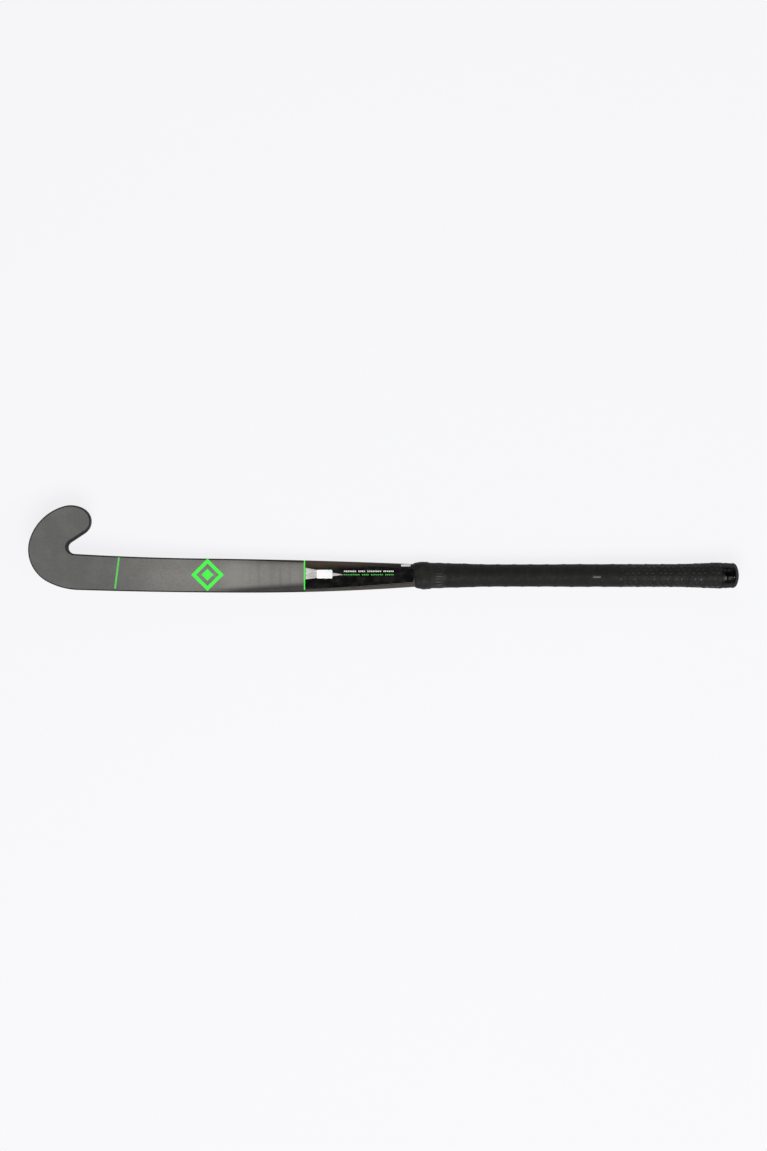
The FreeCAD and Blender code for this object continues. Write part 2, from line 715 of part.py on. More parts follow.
def diamond(name, side):
    """Square block standing on its corner at the emblem's centre."""
    return upright_block(name, side, side, "Sizes.emblem_station",
                         f"Sizes.emblem_centre - ({side}) * sqrt(2) / 2", "Sizes.emblem_floor", 45)


def fan_block(name):
    """Tapering tail: a broad end beside the upper stripe, drawn out to a point along the shaft."""
    sketch = new_sketch(f"{name}_plan", STRAIGHT_PLAN)
    tip = (cell("fan_tip"), cell("fan_tip_height"))
    corners = [(cell("fan_start"), cell("fan_lower")), tip, (cell("fan_start"), cell("fan_upper"))]
    points = [Vector(across[1], up[1], 0) for across, up in corners]
    for index, start in enumerate(points):
        line = sketch.addGeometry(Part.LineSegment(start, points[(index + 1) % len(points)]))
        pin(sketch, line, EDGE_START, *corners[index])
    for index in range(len(points)):
        following = (index + 1) % len(points)
        sketch.addConstraint(Sketcher.Constraint("Coincident", index, EDGE_END, following, EDGE_START))
    return extruded(sketch, f"{name}_prism", UP, 80, 0)


def dash_row(colour, groups):
    """Row of short bars standing in for print, evenly spaced, with a space after each group of them."""
    row, half = f"Sizes.{colour}_mark_row", f"Sizes.{colour}_mark_height / 2"
    low, high = f"{row} - {half}", f"{row} + {half}"
    step = f"(Sizes.mark_end - Sizes.mark_start) / {sum(groups) + len(groups) - 1}"
    dashes, place = [], 0
    for count in groups:
        for _ in range(count):
            start = f"Sizes.mark_start + {place} * {step}"
            end = f"{start} + Sizes.mark_fill * {step}"
            dashes.append(block(f"{colour}_dash_{len(dashes) + 1}", start, end, low, high))
            place += 1
        place += 1
    return fused(f"{colour}_row", *dashes)


def make_films(laminate):
    """Printed films; `laminate` is the solid of the outside that the edge print lies on."""
    band = film_band("print_band", "film")
    films = [common("lower_pinstripe", band, lower_stripe_block()),
             common("upper_pinstripe", band, upper_stripe_block())]

    ring = cut("emblem_ring", diamond("emblem_outer", "Sizes.emblem_side"),
               diamond("emblem_inner", "Sizes.emblem_side - 2 * Sizes.emblem_band"))
    middle = diamond("emblem_middle", "Sizes.emblem_core")
    films.append(common("emblem_decal", band, fused("emblem_shape", ring, middle)))

    fan = fan_block("fan")
    films.append(common("tail_graphic", band, fan))
    label_band = film_band("label_band", "label_film")
    label = block("label_block", "Sizes.label_station", "Sizes.label_station + Sizes.label_length",
                  "Sizes.label_centre - Sizes.label_width / 2", "Sizes.label_centre + Sizes.label_width / 2")
    doc.recompute()
    rounded = doc.addObject("Part::Fillet", "label_rounded")
    rounded.Base = label
    corner = size("label_corner")
    rounded.Edges = [(number, corner, corner) for number, edge in enumerate(label.Shape.Edges, start=1)
                     if abs(edge.tangentAt(edge.FirstParameter).z) > 0.99]
    over_fan = cut("label_over_fan", label_band, common("fan_film", band, fan))
    films.append(common("blank_label", over_fan, rounded))

    for colour, groups in (("white", WHITE_GROUPS), ("green", GREEN_GROUPS)):
        films.append(common(f"{colour}_print_dashes", band, dash_row(colour, groups)))
    edge_film = cut("edge_film", blade("film_blade", "film"), laminate)
    films.append(common("edge_print_bar", edge_film, bar_block("edge_mark")))
    return films


# ---------------------------------------------------------------- lie, checks and export

def lay_down(part):
    """The placement that all sub-parts share: pitched about the stick's width, lifted and centred."""
    part.Placement = Placement(Vector(), Rotation(Vector(0, 1, 0), size("rest_pitch")))
    for axis in "xyz":
        part.setExpression(f"Placement.Base.{axis}", f"Sizes.rest_shift_{axis}")


def check_document(parts):
    problems = [f"{item.Name}: {item.State}" for item in doc.Objects
                if "Invalid" in item.State or "Error" in item.State]
    problems += [f"{part.Label}: no valid shape" for part in parts
                 if part.Shape.isNull() or not part.Shape.isValid() or part.Shape.Volume <= 0]
    if problems:
        raise RuntimeError("; ".join(problems))


def main():
    parts = make_shell_and_core() + make_grip() + [make_cap()]
    parts += make_films(doc.getObject("outside_blade"))
    for part in parts:
        part.Label = part.Name
        lay_down(part)
    doc.recompute()
    check_document(parts)
    os.makedirs("parts", exist_ok=True)
    for part in parts:
        part.Shape.exportStep(f"parts/{part.Label}.step")
        print(f"{part.Label}: {part.Shape.Volume / 1000:.2f} cm3")
    return parts


parts = main()
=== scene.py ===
"""Looks of the field hockey stick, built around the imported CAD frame.

The stick's own pieces are worked out in its design frame: x runs from the outer curve of the head to
the butt, y points towards the toe and z is the normal of the playing side at the handle, with the
handle's axis on y = z = 0. The grip mount of the record says where that axis lies in the row's frame.
Lengths are metres.
"""
import json
import math

import bmesh
import bpy
import numpy as np
from mathutils import Matrix, Vector, noise


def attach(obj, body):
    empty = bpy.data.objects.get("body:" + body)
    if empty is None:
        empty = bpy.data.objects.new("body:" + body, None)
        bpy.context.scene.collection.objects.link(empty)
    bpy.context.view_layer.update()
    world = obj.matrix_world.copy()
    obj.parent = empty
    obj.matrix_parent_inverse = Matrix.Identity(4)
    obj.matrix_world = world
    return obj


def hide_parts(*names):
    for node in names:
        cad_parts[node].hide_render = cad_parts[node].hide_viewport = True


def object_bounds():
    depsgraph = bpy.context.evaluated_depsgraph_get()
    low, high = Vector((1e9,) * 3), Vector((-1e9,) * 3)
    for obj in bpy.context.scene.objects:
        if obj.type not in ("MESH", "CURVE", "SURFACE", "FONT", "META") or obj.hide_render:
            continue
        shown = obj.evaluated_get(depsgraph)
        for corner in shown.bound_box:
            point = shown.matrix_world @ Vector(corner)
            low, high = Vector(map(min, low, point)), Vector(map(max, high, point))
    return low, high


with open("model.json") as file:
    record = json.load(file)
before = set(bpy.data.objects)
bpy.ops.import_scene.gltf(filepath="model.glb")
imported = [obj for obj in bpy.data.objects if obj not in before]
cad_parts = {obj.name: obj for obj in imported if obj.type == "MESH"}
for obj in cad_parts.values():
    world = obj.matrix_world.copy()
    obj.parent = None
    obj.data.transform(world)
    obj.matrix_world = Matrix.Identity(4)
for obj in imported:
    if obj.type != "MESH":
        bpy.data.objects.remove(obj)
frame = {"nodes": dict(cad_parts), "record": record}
cad_low, cad_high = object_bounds()

MM = 0.001

# Stations along the stick, as in the CAD part.
BEND_START = 110.0 * MM
BELLY = 290.8 * MM
UPPER_STRIPE = 359.7 * MM
BEND_END = 430.0 * MM
NECK = 502.0 * MM
HANDLE_START = 545.0 * MM
STRAIGHT_START = 612.0 * MM
GRIP_MOUNT = 692.0 * MM
GRIP_CHANGE = 772.0 * MM
STRAIGHT_END = 830.0 * MM
CAP_START = 904.7 * MM
TUBE_END = 912.0 * MM
CAP_SHOULDER = 918.0 * MM
BUTT_END = 927.0 * MM

# Plan of the head: tangent arcs (radius, turn) from the belly round the heel and toe to the notch.
BELLY_DROP = 22.5 * MM
SOLE = (7000.0 * MM, 1.84)
HEEL = (88.46 * MM, 26.56)
OUTER_CURVE = (47.54 * MM, 79.81)
CROWN = (64.7 * MM, 56.0)
TOE_SHOULDER = (31.29 * MM, 49.03)
TOE_TIP = (19.0 * MM, 112.8)
TOE_FLANK = 21.1 * MM
NOTCH = (8.15 * MM, 142.7)
THROAT = (3655.0 * MM, 2.7)
NECK_HALF_WIDTH = 15.0 * MM

# Side profile and edge rounding.
HALF_THICKNESS = 12.4 * MM
HEAD_THICKNESS = 21.0 * MM
HEAD_TILT = math.radians(8.5)
BOW_RADIUS = 2165.0 * MM
BACK_BOW_RADIUS = 2182.0 * MM
FACE_ROUNDING = 2.5 * MM
FACE_ROUNDING_NECK = 7.0 * MM
HOOK_ROUNDING = 2.2 * MM
HOOK_FACING = (0.80, -0.60)
HOOK_REACH = (18.0 * MM, 36.0 * MM)
BACK_ROUNDING = 10.0 * MM

# Handle, grip and cap. A grid is the rows in one turn of tape and the columns round the handle.
HANDLE_START_RADIUS = 14.1 * MM
HANDLE_RADIUS = 12.6 * MM
BUTT_RADIUS = 14.8 * MM
TAPE_THICKNESS = 2.1 * MM
TAPE_PITCH = 21.5 * MM
CAP_RADIUS = 16.4 * MM
CAP_SHOULDER_RADIUS = 7.0 * MM
CAP_GROOVE = 917.0 * MM
CAP_RIB = 909.9 * MM
CAP_RIB_HEIGHT = 0.25 * MM
CAP_BAND = 914.0 * MM
CAP_BAND_DROP = 0.3 * MM
CAP_GROOVE_DEPTH = 0.35 * MM
CAP_LIP = 0.7 * MM
GLUE_THICKNESS = 0.3 * MM
BORE_RINGS = 5
SMOOTH_GRID = (32, 129)
DIMPLED_GRID = (56, 225)
COLLAR_SWELL = 567.0 * MM
HAND_SWELL = (680.0 * MM, 712.0 * MM)
BUTT_SWELL = (860.0 * MM, 868.0 * MM)
SWELL_END = 896.0 * MM
PRINTED_BAR = 741.5 * MM
TAPE_HOLLOW = 0.10 * MM
TAPE_CROWN = 0.25 * MM
SMOOTH_LAP = 0.25 * MM
DIMPLED_LAP = 0.45 * MM
DIMPLE_RADIUS = 2.5 * MM
DIMPLE_DEPTH = 0.55 * MM
DIMPLE_ROWS = 7.3 * MM
DIMPLES_PER_TURN = 7.5
DIMPLE_STEP = 12.6 * MM
FIRST_DIMPLES = 3.6 * MM
SECOND_DIMPLES = 7.25 * MM
DIMPLES_RISE = (1.2 * MM, 2.6 * MM)
DIMPLES_FALL = (18.8 * MM, 20.2 * MM)
COLLAR_START = 502.9 * MM
COLLAR_END = 546.0 * MM
COLLAR_LEAN = 1.4 * MM
COLLAR_RINGS = 96
COLLAR_LIP = (502.6 * MM, 506.5 * MM)
COLLAR_BAND = (503.0 * MM, 508.0 * MM)
COLLAR_THINNING = (528.0 * MM, 545.0 * MM)
BULGE_RISE = (506.0 * MM, 514.0 * MM)
BULGE_FALL = (521.0 * MM, 525.5 * MM)
HEEL_BULGE = 515.5 * MM
CREASES = 25
CREASE_MIDDLE = 535.5 * MM
CREASE_DEPTH = 0.5 * MM

# Colours, as display values, and the floor's glow and size.
# The head's and shaft's greys carry painted light: the shaft is painted lighter, where it meets the light
# better than the tilted head.
HEAD_GREY = (96, 96, 94)
SHAFT_GREY = (123, 121, 116)
COAT_DARK = (74, 74, 72)
COAT_LIGHT = (142, 141, 136)
COAT_BAND = (106, 104, 99)
# Painted shade for the shaft's rounded edges.
COAT_EDGE_SHADE = (50, 49, 48)
# Painted shade for the laminate's steep walls and rims.
COAT_RIM_SHADE = (34, 34, 33)
LACQUER_BLACK = (10, 10, 10)
# Painted reflection of a warm surrounding in the lacquer.
LACQUER_BROWN_REFLECTION = (67, 56, 47)
# Painted reflection on the lacquer's heel-side rounding.
LACQUER_EDGE_REFLECTION = (62, 56, 49)
LACQUER_GRAIN = (34, 30, 26)
FLOOR_COLOUR = (92, 92, 93)
FLOOR_COLOUR_SHADE = (90, 90, 91)
FLOOR_GLOW_COLOUR = (250, 250, 252)
FLOOR_GLOW = 0.873
FLOOR_SIZE = 120.0

# Picture: its height at the level of the prints, how that level sits in the CAD box, and how far the
# camera stands from the middle of the box towards the head.
FRAME_HEIGHT = 1.5013
FRAME_LEVEL = 0.70
FRAME_SHIFT = 1.0 * MM
LENS = 100.0
SENSOR = 36.0

# Sky: strength on the heel's side and the toe's side, and the share of it left overhead, where the
# sine of the elevation rises from SKY_EDGE to SKY_DARK. A low pale band carries the floor's tone on and
# fades out between the two sines of SKY_BAND.
SKY_HEEL_SIDE = 0.30
SKY_TOE_SIDE = 0.10
SKY_ZENITH = 0.20
SKY_EDGE = 0.78
SKY_DARK = 0.96
SKY_HORIZON = 0.87
SKY_BAND = (0.17, 0.24)


def stick_matrix():
    """Design frame to row frame, from the point and direction that the grip mount states."""
    mount = next(item for item in frame["record"]["mounts"] if item["name"] == "grip_hold")
    along = Vector(mount["axis"]).normalized()
    across = Vector((0, 1, 0))
    up = along.cross(across).normalized()
    origin = Vector(mount["pos_m"]) - along * GRIP_MOUNT
    turn = Matrix((along, across, up)).transposed().to_4x4()
    return Matrix.Translation(origin) @ turn


STICK = stick_matrix()


# ---------------------------------------------------------------- mesh tools

def welded(vertices, faces, normals):
    """Joins points that share a place and drops the faces that this flattens."""
    places, kept, number = {}, [], []
    for index, vertex in enumerate(vertices):
        key = tuple(round(float(value) * 1e7) for value in vertex)
        if key not in places:
            places[key] = len(kept)
            kept.append(index)
        number.append(places[key])
    joined = []
    for face in faces:
        corners = list(dict.fromkeys(number[corner] for corner in face))
        if len(corners) > 2:
            joined.append(corners)
    return [vertices[i] for i in kept], joined, [normals[i] for i in kept] if normals else None, kept


def make_piece(name, vertices, faces, materials, replaced, normals=None, tones=None):
    """A closed, smooth-shaded piece in the design frame that rides on the row's one body."""
    vertices, faces, normals, kept = welded(vertices, faces, normals)
    mesh = bpy.data.meshes.new(name)
    mesh.from_pydata([STICK @ Vector(vertex) for vertex in vertices], [], faces)
    for material in materials:
        mesh.materials.append(material)
    editor = bmesh.new()
    editor.from_mesh(mesh)
    bmesh.ops.recalc_face_normals(editor, faces=editor.faces)
    editor.to_mesh(mesh)
    editor.free()
    mesh.polygons.foreach_set("use_smooth", [True] * len(mesh.polygons))
    if normals:
        turn = STICK.to_3x3()
        mesh.normals_split_custom_set_from_vertices([turn @ normal for normal in normals])
    if tones is not None:
        attribute = mesh.attributes.new("tone", "FLOAT", "POINT")
        attribute.data.foreach_set("value", np.asarray(tones, dtype=np.float32)[kept])
    piece = bpy.data.objects.new(name, mesh)
    bpy.context.scene.collection.objects.link(piece)
    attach(piece, "root")
    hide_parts(replaced)
    return piece


def grid_faces(rows, columns, closed):
    """Quads of a grid stored row by row; a closed grid joins each row's last point to its first."""
    faces = []
    for row in range(rows - 1):
        for column in range(columns if closed else columns - 1):
            a = row * columns + column
            b = row * columns + (column + 1) % columns
            faces.append((a, b, b + columns, a + columns))
    return faces


def smooth_step(low, high, value):
    """0 up to low, 1 from high, and a smooth rise between them."""
    share = np.clip((value - low) / (high - low), 0, 1)
    return share * share * (3 - 2 * share)


# ---------------------------------------------------------------- plan of the stick

class Arc:
    """Tangent arc of the plan, sampled by a share from 0 to 1.

    A straight run has no radius, and its length stands in place of the turn.
    """

    def __init__(self, start, heading, radius, turn):
        self.start, self.heading, self.radius, self.turn = start, heading, radius, turn
        self.length = turn if radius is None else radius * abs(turn)
        side = 1 if radius is None or turn > 0 else -1
        self.side = side
        if radius is not None:
            self.centre = start + radius * side * np.array((-math.sin(heading), math.cos(heading)))
        self.end_heading = heading if radius is None else heading + turn
        self.end = self.at(1)[0]

    def at(self, share):
        """Point, and unit vector pointing out of the stick, which is drawn clockwise."""
        heading = self.heading if self.radius is None else self.heading + self.turn * share
        left = np.array((-math.sin(heading), math.cos(heading)))
        if self.radius is None:
            along = np.array((math.cos(heading), math.sin(heading)))
            return self.start + along * self.length * share, left
        return self.centre - left * self.side * self.radius, left


def arc_between(start, heading, goal):
    """Arc that leaves `start` on `heading` and ends at `goal`."""
    chord = goal - start
    lean = math.atan2(chord[1], chord[0]) - heading
    lean = math.atan2(math.sin(lean), math.cos(lean))
    return Arc(start, heading, np.linalg.norm(chord) / (2 * abs(math.sin(lean))), 2 * lean)


def plan_arcs():
    """Named arcs clockwise from the belly round the head to the neck, and the lower edge to the neck."""
    start, heading = np.array((BELLY, -BELLY_DROP)), math.pi
    arcs = {}
    chain = (("sole", SOLE, -1), ("heel", HEEL, -1), ("outer_curve", OUTER_CURVE, -1), ("crown", CROWN, -1),
             ("toe_shoulder", TOE_SHOULDER, -1), ("toe_tip", TOE_TIP, -1), ("toe_flank", None, 0),
             ("notch", NOTCH, 1), ("throat", THROAT, 1))
    for name, shape, side in chain:
        if shape is None:
            arc = Arc(start, heading, None, TOE_FLANK)
        else:
            arc = Arc(start, heading, shape[0], side * math.radians(shape[1]))
        arcs[name] = arc
        start, heading = arc.end, arc.end_heading
    arcs["upper_edge"] = arc_between(start, heading, np.array((NECK, NECK_HALF_WIDTH)))
    arcs["lower_edge"] = arc_between(np.array((BELLY, -BELLY_DROP)), 0.0, np.array((NECK, -NECK_HALF_WIDTH)))
    return arcs


ARCS = plan_arcs()


def along_arcs(pieces, count, first=True):
    """Evenly spaced samples along a run of (arc name, from share, to share)."""
    lengths = [ARCS[name].length * abs(b - a) for name, a, b in pieces]
    total = sum(lengths)
    samples = []
    for index in range(0 if first else 1, count + 1):
        distance = total * index / count
        for (name, a, b), length in zip(pieces, lengths):
            if distance <= length + 1e-12 or (name, a, b) == pieces[-1]:
                share = a + (b - a) * min(distance / length, 1)
                point, outward = ARCS[name].at(share)
                samples.append((point, -outward if name == "lower_edge" else outward))
                break
            distance -= length
    return samples


def edge_at(names, station):
    """Point and outward vector of a nearly straight edge where it passes a station."""
    for name in names:
        arc = ARCS[name]
        low, high = sorted((arc.start[0], arc.end[0]))
        if low - 1e-9 <= station <= high + 1e-9:
            a, b = 0.0, 1.0
            rising = arc.end[0] > arc.start[0]
            for _ in range(40):
                middle = (a + b) / 2
                if (arc.at(middle)[0][0] < station) == rising:
                    a = middle
                else:
                    b = middle
            point, outward = arc.at((a + b) / 2)
            return point, (-outward if name == "lower_edge" else outward)
    raise ValueError(f"no edge at station {station}")


def face_height(x):
    """Height of the playing side, and its slope, at a station."""
    if x >= BEND_END:
        return HALF_THICKNESS, 0.0
    if x >= BEND_START:
        drop = math.sqrt(BOW_RADIUS ** 2 - (BEND_END - x) ** 2)
        return HALF_THICKNESS + BOW_RADIUS - drop, -(BEND_END - x) / drop
    tangent_x = BEND_END - BOW_RADIUS * math.sin(HEAD_TILT)
    height = HALF_THICKNESS + BOW_RADIUS * (1 - math.cos(HEAD_TILT))
    return height + (tangent_x - x) * math.tan(HEAD_TILT), -math.tan(HEAD_TILT)


def back_line():
    """Where the back's bow touches the head's back plane and the handle's back line."""
    tangent_x = BEND_END - BOW_RADIUS * math.sin(HEAD_TILT)
    top = HALF_THICKNESS + BOW_RADIUS * (1 - math.cos(HEAD_TILT)) - HEAD_THICKNESS / math.cos(HEAD_TILT)
    corner = tangent_x + (top + HALF_THICKNESS) / math.tan(HEAD_TILT)
    run = BACK_BOW_RADIUS * math.tan(HEAD_TILT / 2)
    return corner, corner - run * math.cos(HEAD_TILT), corner + run


BACK_CORNER, BACK_BOW_START, BACK_BOW_END = back_line()


def back_height(x):
    """Height of the back, and its slope, at a station."""
    if x >= BACK_BOW_END:
        return -HALF_THICKNESS, 0.0
    if x >= BACK_BOW_START:
        drop = math.sqrt(BACK_BOW_RADIUS ** 2 - (BACK_BOW_END - x) ** 2)
        return -HALF_THICKNESS + BACK_BOW_RADIUS - drop, -(BACK_BOW_END - x) / drop
    return -HALF_THICKNESS + (BACK_CORNER - x) * math.tan(HEAD_TILT), -math.tan(HEAD_TILT)


def face_rounding(x):
    """Rounding of the playing side's rim, which grows from the belly to the neck."""
    share = min(max((x - BELLY) / (NECK - BELLY), 0), 1)
    return FACE_ROUNDING + share * (FACE_ROUNDING_NECK - FACE_ROUNDING)


# ---------------------------------------------------------------- laminate

FACE_COLUMNS = 9
FILLET_STEPS = 7
BACK_STEPS = 9
WALL_STEPS = 2
FIRST_STATION = 76.0 * MM
TOE_SAMPLES = 34
CROWN_SAMPLES = 30
OUTER_CURVE_SAMPLES = 54
HEEL_SAMPLES = 22
SHAFT_STEP = 4.0 * MM
NECK_STEPS = 8
HANDLE_STEPS = 40


def shaft_stations(start, end):
    """Evenly spaced stations after the start, up to the end."""
    steps = int((end - start) / SHAFT_STEP)
    return [start + (end - start) * step / steps for step in range(1, steps + 1)]


def paired_edges():
    """Outer edge and inner edge of the J, point by point from the toe's tip to the neck."""
    tip = 0.5
    outer = along_arcs([("toe_tip", tip, 0.0), ("toe_shoulder", 1.0, 0.0)], TOE_SAMPLES)
    inner = along_arcs([("toe_tip", tip, 1.0)], TOE_SAMPLES)
    outer += along_arcs([("crown", 1.0, 0.0)], CROWN_SAMPLES, first=False)
    inner += along_arcs([("toe_flank", 0.0, 1.0)], CROWN_SAMPLES, first=False)
    heel_share, notch_share = 0.35, 0.92
    to_heel = [("outer_curve", 1.0, 0.0), ("heel", 1.0, heel_share)]
    outer += along_arcs(to_heel, OUTER_CURVE_SAMPLES, first=False)
    inner += along_arcs([("notch", 0.0, notch_share)], OUTER_CURVE_SAMPLES, first=False)

    throat = ARCS["throat"]
    throat_share = (FIRST_STATION - throat.start[0]) / (throat.end[0] - throat.start[0])
    into_throat = [("notch", notch_share, 1.0), ("throat", 0.0, throat_share)]
    outer += along_arcs([("heel", heel_share, 0.0)], HEEL_SAMPLES, first=False)
    inner += along_arcs(into_throat, HEEL_SAMPLES, first=False)

    for station in shaft_stations(FIRST_STATION, UPPER_STRIPE) + shaft_stations(UPPER_STRIPE, NECK):
        outer.append(edge_at(("sole", "lower_edge"), station))
        inner.append(edge_at(("throat", "upper_edge"), station))
    return outer, inner


def hook_rounding(point, outward):
    """Extra rounding of the playing side's rim inside the hook, most of all on the toe's flank."""
    away = math.hypot(*(point - ARCS["notch"].centre))
    facing = max(0.0, HOOK_FACING[0] * outward[0] + HOOK_FACING[1] * outward[1])
    return HOOK_ROUNDING * facing * (1 - float(smooth_step(*HOOK_REACH, away)))


def rim(point, outward):
    """Section of the rounded edge at one plan point, from the playing side down to the back."""
    vertices, normals = [], []
    rounding = face_rounding(point[0]) + hook_rounding(point, outward)
    for step in range(FILLET_STEPS + 1):
        angle = math.pi / 2 * (1 - step / FILLET_STEPS)
        inset = rounding * (1 - math.cos(angle))
        x, y = point - outward * inset
        height, slope = face_height(x)
        vertices.append((x, y, height - rounding * (1 - math.sin(angle))))
        up = Vector((-slope, 0, 1)).normalized()
        side = Vector((outward[0], outward[1], 0))
        normals.append((side * math.cos(angle) + up * math.sin(angle)).normalized())
    top = vertices[-1][2]
    bottom = back_height(point[0])[0] + BACK_ROUNDING
    for step in range(1, WALL_STEPS):
        share = step / WALL_STEPS
        vertices.append((point[0], point[1], top + (bottom - top) * share))
        normals.append(Vector((outward[0], outward[1], 0)))
    for step in range(BACK_STEPS + 1):
        angle = math.pi / 2 * step / BACK_STEPS
        inset = BACK_ROUNDING * (1 - math.cos(angle))
        x, y = point - outward * inset
        height, slope = back_height(x)
        vertices.append((x, y, height + BACK_ROUNDING * (1 - math.sin(angle))))
        down = Vector((slope, 0, -1)).normalized()
        side = Vector((outward[0], outward[1], 0))
        normals.append((side * math.cos(angle) + down * math.sin(angle)).normalized())
    return vertices, normals


def across(first, last, height_at, sign):
    """Points between two rim ends on the playing side (sign +1) or the back (sign -1)."""
    vertices, normals = [], []
    for column in range(1, FACE_COLUMNS):
        share = column / FACE_COLUMNS
        x = first[0] + (last[0] - first[0]) * share
        y = first[1] + (last[1] - first[1]) * share
        height, slope = height_at(x)
        vertices.append((x, y, height))
        normals.append(Vector((-slope * sign, 0, sign)).normalized())
    return vertices, normals


def handle_radius(x):
    """Radius of the bare handle: waisted after the neck, straight in the hand, flared at the butt."""
    neck_side = np.clip((STRAIGHT_START - x) / (STRAIGHT_START - HANDLE_START), 0, 1)
    butt_side = np.clip((x - STRAIGHT_END) / (CAP_START - STRAIGHT_END), 0, 1)
    return (HANDLE_RADIUS + (HANDLE_START_RADIUS - HANDLE_RADIUS) * neck_side ** 2
            + (BUTT_RADIUS - HANDLE_RADIUS) * butt_side ** 2)


def make_laminate(matte, gloss):
    """The whole carbon stick: the J swept from the toe to the neck, and the round handle behind it."""
    outer, inner = paired_edges()
    vertices, normals, rings = [], [], len(outer)
    for (outer_point, outer_side), (inner_point, inner_side) in zip(outer, inner):
        inner_rim, inner_normals = rim(inner_point, inner_side)
        outer_rim, outer_normals = rim(outer_point, outer_side)
        face, face_normals = across(outer_rim[0], inner_rim[0], face_height, 1)
        back, back_normals = across(inner_rim[-1], outer_rim[-1], back_height, -1)
        vertices += face + inner_rim + back + outer_rim[::-1]
        normals += face_normals + inner_normals + back_normals + outer_normals[::-1]
    columns = len(vertices) // rings

    neck_ring = vertices[-columns:]
    for step in range(1, HANDLE_STEPS + 1):
        share = min(step / NECK_STEPS, 1)
        x = NECK + (HANDLE_START - NECK) * share
        if step > NECK_STEPS:
            steps_left = HANDLE_STEPS - NECK_STEPS
            x = HANDLE_START + (TUBE_END - HANDLE_START) * (step - NECK_STEPS) / steps_left
        radius = float(handle_radius(x))
        for _, y, z in neck_ring:
            reach = math.hypot(y, z)
            size = reach + (radius - reach) * share
            vertices.append((x, y / reach * size, z / reach * size))
            normals.append(Vector((0, y, z)).normalized())
    rings += HANDLE_STEPS
    faces = grid_faces(rings, columns, True)
    faces.append(tuple(range((rings - 1) * columns, rings * columns)))
    piece = make_piece("laminate", vertices, faces, [matte, gloss], "carbon_shell",
                       normals)
    into_stick = STICK.inverted()
    for polygon in piece.data.polygons:
        polygon.material_index = int((into_stick @ polygon.center).x > UPPER_STRIPE)
    return piece


# ---------------------------------------------------------------- tapes, collar and cap

def wound_point(x, radius, turn):
    """Point of a wound surface; `turn` runs from 0 to 1 round the handle, rising in y over the top."""
    angle = 2 * math.pi * turn
    return x, -radius * np.cos(angle), radius * np.sin(angle)


def make_tape(name, start, end, rows_per_turn, columns, relief, material, node, slot):
    """A grip tape wound round the handle, each turn lapping over the one before it."""
    rows = math.ceil(((end - start) / TAPE_PITCH + 1) * rows_per_turn) + 1
    turns = np.linspace(0, 1, columns)
    begin = start - TAPE_PITCH + np.arange(rows) * TAPE_PITCH / rows_per_turn
    x = np.clip(begin[:, None] + TAPE_PITCH * turns, start, end)
    wound = (x - GRIP_CHANGE) / TAPE_PITCH - turns
    height, tone = relief(wound - np.floor(wound), np.floor(wound) + turns)
    radius = handle_radius(x) + TAPE_THICKNESS + tape_swell(x) + height
    outside = np.stack(np.broadcast_arrays(*wound_point(x, radius, turns)), axis=-1).reshape(-1, 3)
    first, last = outside[:columns], outside[-columns:]

    vertices = [tuple(point) for point in outside]
    for x_ring in np.linspace(end, start, BORE_RINGS):
        bore = float(handle_radius(x_ring)) + GLUE_THICKNESS
        vertices += [tuple(map(float, wound_point(x_ring, bore, turn))) for turn in turns]
    vertices += [tuple(point) for point in first]
    tones = list(tone.reshape(-1)) + [0.0] * (len(vertices) - outside.shape[0])
    faces = grid_faces(len(vertices) // columns, columns, False)
    return make_piece(name, vertices, faces, [material], node, tones=tones)


def tape_swell(x):
    """Extra thickness where the tape was wound slacker: near the collar, under the hand and at the
    butt. It thins under the printed bar, which lies on it.
    """
    near_collar = 0.35 * MM * np.exp(-((x - COLLAR_SWELL) / (16.0 * MM)) ** 2)
    under_hand = 0.32 * MM * smooth_step(*HAND_SWELL, x)
    near_butt = 0.20 * MM * smooth_step(*BUTT_SWELL, x)
    off_print = 1 - 0.7 * np.exp(-((x - PRINTED_BAR) / (8.0 * MM)) ** 2)
    return near_collar + (under_hand * off_print + near_butt) * smooth_step(CAP_START, SWELL_END, x)


def lap(phase, height):
    """Raised band where a turn lies on the turn before: a sharp front edge and a long slope behind it."""
    front = smooth_step(0.965, 1.0, phase)
    slope = 1 - smooth_step(0.02, 0.30, phase)
    return height * np.maximum(front, slope)


def smooth_relief(phase, along):
    """Height and tone of the plain tape: a soft lap and a slight hollow along its middle."""
    hollow = TAPE_HOLLOW * np.sin(np.pi * phase) ** 2
    return lap(phase, SMOOTH_LAP) - hollow, lap(phase, 1.0) * 0.35


def dimple_share(across, along, first_row, offset):
    """1 at the middle of the nearest dimple of one rectangular lattice, falling to 0 at its rim."""
    row = np.clip(np.round((across - first_row) / DIMPLE_ROWS), 0, None)
    sideways = across - first_row - row * DIMPLE_ROWS
    lengthways = (along - offset - np.round(along - offset)) * DIMPLE_STEP
    return 1 - smooth_step(0.35, 1.0, np.hypot(sideways, lengthways) / DIMPLE_RADIUS)


def dimpled_relief(phase, along):
    """Height and tone of the cushioned tape: a crowned turn with two lattices of dimples."""
    across = phase * TAPE_PITCH
    steps = along * DIMPLES_PER_TURN
    dimples = np.maximum(dimple_share(across, steps, FIRST_DIMPLES, 0.0),
                         dimple_share(across, steps, SECOND_DIMPLES, 0.5))
    dimples *= smooth_step(*DIMPLES_RISE, across) * (1 - smooth_step(*DIMPLES_FALL, across))
    crown = TAPE_CROWN * np.sin(np.pi * phase) ** 0.6
    return lap(phase, DIMPLED_LAP) + crown - TAPE_CROWN - DIMPLE_DEPTH * dimples, dimples


